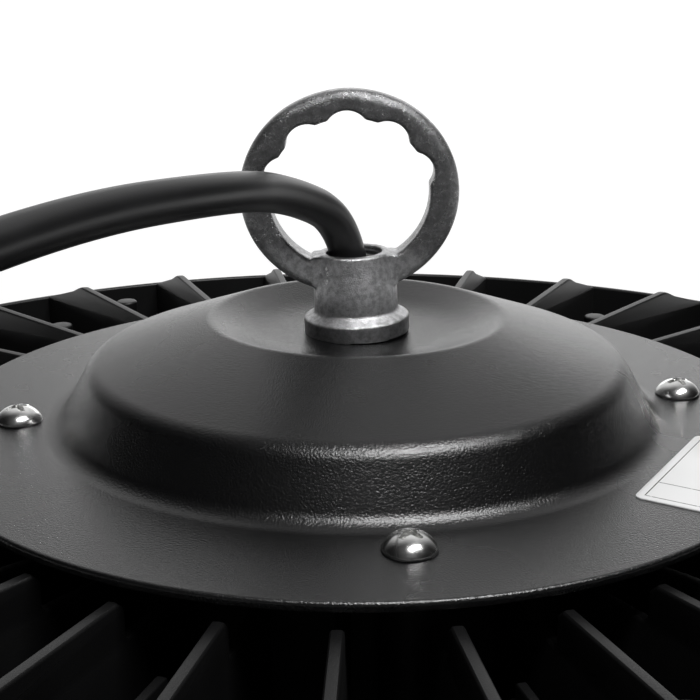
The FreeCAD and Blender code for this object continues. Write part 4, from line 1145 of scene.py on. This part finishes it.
@dataclass
class PanScrews:
    """Four bright pan-head screws with cross recesses."""

    datum: Datum
    circle: float = 71.7 * MM
    phase: float = 7.0
    head: float = 4.85 * MM
    rise: float = 3.3 * MM
    skirt: float = 0.35 * MM
    shank: float = 2.5 * MM
    reach: float = 12 * MM
    wing: float = 2.5 * MM
    half_slot: float = 0.62 * MM
    depth: float = 2.3 * MM
    fullness: Point = (2.3, 0.72)
    wall_width: float = 0.16 * MM
    end_width: float = 0.55 * MM
    turns: Tuple[float, ...] = (20.0, 62.0, 35.0, 50.0)

    def height(self, x: float, y: float) -> float:
        """Height of the head above the flange at a point from its middle.

        Args:
            x: along one wing of the recess.
            y: along the other.

        Returns:
            The height.
        """
        radius = math.hypot(x, y)
        share = min(1.0, radius / self.head)
        spread, fall = self.fullness
        crown = self.skirt + (self.rise - self.skirt) * (1 - share**spread) ** fall
        widen = self.half_slot * (1.25 - 0.45 * min(1.0, radius / self.wing))
        narrow = min(abs(x), abs(y))
        walls = min(1.0, max(0.0, (widen - narrow) / self.wall_width))
        ends = min(1.0, max(0.0, (self.wing - radius) / self.end_width))
        slope = self.depth * (1 - 0.55 * min(1.0, radius / self.wing))
        return crown - slope * walls * ends

    def build(self) -> None:
        """All four as one piece."""
        shell = Shell()
        steps, levels = 120, 44
        for number, turn in enumerate(self.turns):
            centre = self.datum.axis + spot(
                self.phase + 90 * number, self.circle, self.datum.flange
            )
            rows = []
            for level in range(1, levels + 1):
                radius = self.head * (level / levels) ** 0.85
                row = []
                for step in range(steps):
                    angle = 2 * math.pi * step / steps
                    x, y = radius * math.cos(angle), radius * math.sin(angle)
                    spun = Matrix.Rotation(math.radians(turn), 3, "Z") @ Vector((x, y, 0))
                    row.append(centre + spun + Vector((0, 0, self.height(x, y))))
                rows.append(row)
            for radius, height in (
                (self.head, 0.1 * MM),
                (self.head - 0.2 * MM, 0.0),
                (self.shank, 0.0),
                (self.shank, -self.reach),
            ):
                angles = (360 / steps * step for step in range(steps))
                rows.append([centre + spot(angle, radius, height) for angle in angles])
            start = shell.grid(rows, wrap_columns=True)
            shell.fan(centre + Vector((0, 0, self.height(0, 0))), start, steps, False)
            end = start + (len(rows) - 1) * steps
            shell.fan(centre - Vector((0, 0, self.reach)), end, steps, True)
        piece = shell.piece("pan_head_screws", Finish.SCREW.made(), "bright_steel", 38.0)
        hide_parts("cover_screws")


# ---- hanging ring


@dataclass
class HangingRing:
    """The eye with its scallops, the stem, the foot and the stud, all in one casting."""

    datum: Datum
    outer: float = 21.9 * MM
    inner: float = 16.0 * MM
    oval: Point = (1.032, 0.966)
    top_gap: float = 0.2 * MM
    aside: float = -0.45 * MM
    half: float = 3.5 * MM
    outside_round: float = 2.6 * MM
    inside_round: float = 0.8 * MM
    opening: float = 22.5
    lean: float = -2.2
    notch: float = 4.4 * MM
    notch_reach: float = 13.2 * MM
    notch_count: int = 5
    notch_step: float = 36.0
    bore: float = 5.8 * MM
    voxel: float = 0.3 * MM
    thread_pitch: float = 1.5 * MM
    thread_depth: float = 0.45 * MM
    thread_fade: float = 1.2 * MM
    block: Point = (6.1 * MM, 9.0 * MM)
    block_rise: Point = (10.2 * MM, 16.9 * MM)

    @property
    def middle(self) -> float:
        """Height of the middle of the eye."""
        return self.datum.eye_top - self.top_gap - self.outer * self.oval[1]

    def inside(self, angle: float) -> float:
        """Radius of the eye's inside at an angle in degrees, scallops included."""
        radius = self.inner
        for number in range(self.notch_count):
            towards = 90 + self.notch_step * (number - (self.notch_count - 1) / 2)
            off = math.radians(angle - towards)
            across = self.notch_reach * math.sin(off)
            if math.cos(off) > 0 and abs(across) < self.notch:
                reach = self.notch_reach * math.cos(off) + math.sqrt(self.notch**2 - across**2)
                radius = max(radius, reach)
        return radius

    def add_eye(self, shell: Shell) -> None:
        """The bar, swept round and open where it runs into the stem."""
        steps = 420
        first, sweep = -90 + self.opening, 360 - 2 * self.opening
        rows = []
        for number in range(steps + 1):
            angle = first + sweep * number / steps
            inner = self.inside(angle)
            corners = [
                (inner, -self.half, self.inside_round),
                (self.outer, -self.half, self.outside_round),
                (self.outer, self.half, self.outside_round),
                (inner, self.half, self.inside_round),
            ]
            turn = math.radians(angle)
            row = []
            for r, y in rounded(corners, 15.0):
                x = self.aside + self.oval[0] * r * math.cos(turn)
                z = self.middle + self.oval[1] * r * math.sin(turn)
                row.append(self.datum.axis + Vector((x, y, z)))
            rows.append(row)
        shell.close_ends(shell.grid(rows, wrap_columns=True), len(rows[0]), steps)

    def add_stem(self, shell: Shell) -> None:
        """Foot with its bevel, two-step stem, lip and stud, all with the bore through."""
        dish, bore = self.datum.dish, self.bore / MM
        corners = [
            (bore, -14.0, 0),
            (7.9, -14.0, 0.5),
            (7.9, 0.0, 0),
            (9.0, 0.0, 0),
            (9.0, 1.0, 0),
            (10.6, 1.0, 0),
            (10.6, 0.0, 0),
            (11.1, 0.0, 0),
            (11.1, 3.4, 0.25),
            (8.8, 4.8, 0.7),
            (8.75, 9.6, 4.0),
            (8.0, 13.6, 4.0),
            (7.5, 17.2, 0.6),
            (bore, 17.2, 0.3),
        ]
        scaled = [(r * MM, dish + z * MM, turn * MM) for r, z, turn in corners]
        shell.lathe(rounded(scaled, 15.0), 192, self.datum.axis)

    def add_shoulders(self, shell: Shell) -> None:
        """The flat-sided blocks in which the arms of the eye end, left and right of the stem."""
        low, high = (self.datum.dish + rise for rise in self.block_rise)
        for side in (-1, 1):
            near, far = sorted(side * reach for reach in self.block)
            turn = 0.8 * MM
            corners = [(near, low, turn), (far, low, turn), (far, high, turn), (near, high, turn)]
            place = Matrix.Translation(self.datum.axis)
            shell.slab(rounded(corners, 22.5), lambda z: self.half, 0.4 * MM, place)

    def leaned(self, shell: Shell) -> None:
        """Lean all that stands above the dish a little to one side."""
        pivot = self.datum.axis + Vector((0.0, 0.0, self.datum.dish))
        turn = Matrix.Rotation(math.radians(self.lean), 3, "Y")
        shell.points = [
            pivot + turn @ (point - pivot) if point.z > pivot.z - 1e-6 else point
            for point in shell.points
        ]

    def add_thread(self) -> None:
        """The thread inside the mouth of the stem."""
        shell = Shell()
        around, tall = 96, 150
        top, depth = self.datum.dish + 16.6 * MM, 12 * MM
        rows = []
        for level in range(tall + 1):
            drop = depth * level / tall
            ends = (drop / self.thread_fade, (depth - drop) / self.thread_fade)
            fade = min(1.0, ends[0]) * min(1.0, ends[1])
            row = []
            for step in range(around):
                wave = (drop / self.thread_pitch + step / around) % 1.0
                ridge = 1 - abs(2 * wave - 1)
                radius = self.bore + 0.05 * MM - self.thread_depth * ridge * fade
                row.append(self.datum.axis + spot(360 / around * step, radius, top - drop))
            rows.append(row)
        hidden = self.bore + 0.5 * MM
        back = [
            [self.datum.axis + spot(360 / around * step, hidden, z) for step in range(around)]
            for z in (top - depth, top)
        ]
        shell.grid(rows + back, wrap_rows=True, wrap_columns=True)
        self.leaned(shell)
        shell.piece("stem_thread", Finish.ZINC.made(), "zinc", 70.0)

    def build(self) -> None:
        """Eye and stem run into one skin, then the thread."""
        shell = Shell()
        self.add_eye(shell)
        self.add_stem(shell)
        self.add_shoulders(shell)
        self.leaned(shell)
        piece = shell.piece("cast_hanging_ring", Finish.ZINC.made(), "zinc")
        remesh = piece.modifiers.new("skin", "REMESH")
        remesh.mode = "VOXEL"
        remesh.voxel_size = self.voxel
        smooth = piece.modifiers.new("flow", "SMOOTH")
        smooth.factor = 0.5
        smooth.iterations = 3
        graph = bpy.context.evaluated_depsgraph_get()
        mesh = bpy.data.meshes.new_from_object(piece.evaluated_get(graph))
        piece.modifiers.clear()
        piece.data = mesh
        soften(mesh, 180.0)
        settle(piece, Finish.ZINC.made())
        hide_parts("hanging_ring")
        self.add_thread()


# ---- label


@dataclass
class Label:
    """The sticker on the flange."""

    datum: Datum
    width: float = 15.0 * MM
    length: float = 36.7 * MM
    thickness: float = 0.25 * MM
    corner: float = 1.5 * MM
    inner: float = 68.4 * MM
    shift: float = -16.55 * MM
    angle: float = -31.0

    def build(self) -> None:
        """A thin plate with rounded corners and the print's coordinates."""
        wide, long = self.width, self.length
        corners = ((0.0, 0.0), (wide, 0.0), (wide, long), (0.0, long))
        outline = rounded([(x, y, self.corner) for x, y in corners])
        above = self.datum.axis + Vector((0, 0, self.datum.flange))
        place = stood(above, self.angle) @ Matrix.Translation((self.inner, self.shift, 0))
        shell = Shell()
        levels = [(0.0, 0.0), (self.thickness - 0.05 * MM, 0.0), (self.thickness, 0.05 * MM)]
        for height, inset in levels:
            for x, y in inward(outline, inset):
                shell.uvs[len(shell.points)] = (x / self.width, y / self.length)
                shell.points.append(place @ Vector((x, y, height)))
        count = len(outline)
        for base in (0, count):
            for k in range(count):
                ahead = (k + 1) % count
                shell.cap((base + k, base + ahead, base + count + ahead, base + count + k))
        shell.close_ends(0, count, 2)
        finish = RuledLabel(
            "ruled_label",
            paper=(0.78, 0.78, 0.78),
            ink=(0.03, 0.03, 0.03),
            width=self.width,
            length=self.length,
            inset=1.6 * MM,
            line=0.22 * MM,
            cell=7.2 * MM,
        )
        piece = shell.piece("ruled_sticker", finish.material(), "label", 60.0)
        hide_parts("inspection_label")


# ---- pieces that keep their CAD shape

DRESSED = {
    Finish.SEAL: ("cover_gasket", "lens_gasket"),
    Finish.RUBBER: ("ring_seal", "cable_grommet", "lead_grommet"),
    Finish.STEEL: ("ring_washer", "ring_lock_nut", "driver_screws", "earth_screw", "board_screws"),
    Finish.DRIVER: ("led_driver",),
    Finish.BLOCK: ("terminal_block",),
    Finish.TIN: ("earth_lug", "ferrules"),
    Finish.BOARD: ("led_board",),
    Finish.PHOSPHOR: ("led_chips",),
    Finish.LENS: ("lens",),
    Finish.CASTING: ("lens_ring",),
    Finish.SCREW: ("lens_screws",),
    Finish.BLUE: ("neutral_core", "neutral_tail"),
    Finish.BROWN: ("live_core", "live_tail"),
    Finish.EARTH: ("earth_core", "earth_tail"),
    Finish.SHEATH: ("negative_lead",),
    Finish.RED: ("positive_lead",),
}


def dress_nodes() -> None:
    """Give every piece that keeps its CAD shape its finish."""
    for finish, names in DRESSED.items():
        for name in names:
            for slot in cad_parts[name].material_slots:
                slot.material = finish.made()
        LOG.info("%s: %s", finish.name.lower(), ", ".join(names))


def main() -> None:
    """Build the scene: camera and lead first, then the light from the bottom up."""
    logging.basicConfig(level=logging.INFO, format="%(name)s %(message)s")
    datum = Datum.read()
    studio = Studio(datum)
    studio.add_camera()
    Lead().build()
    Casting(datum).build()
    Cover(datum).build()
    PanScrews(datum).build()
    HangingRing(datum).build()
    Label(datum).build()
    dress_nodes()
    studio.build()


if __name__ == "__main__":
    main()
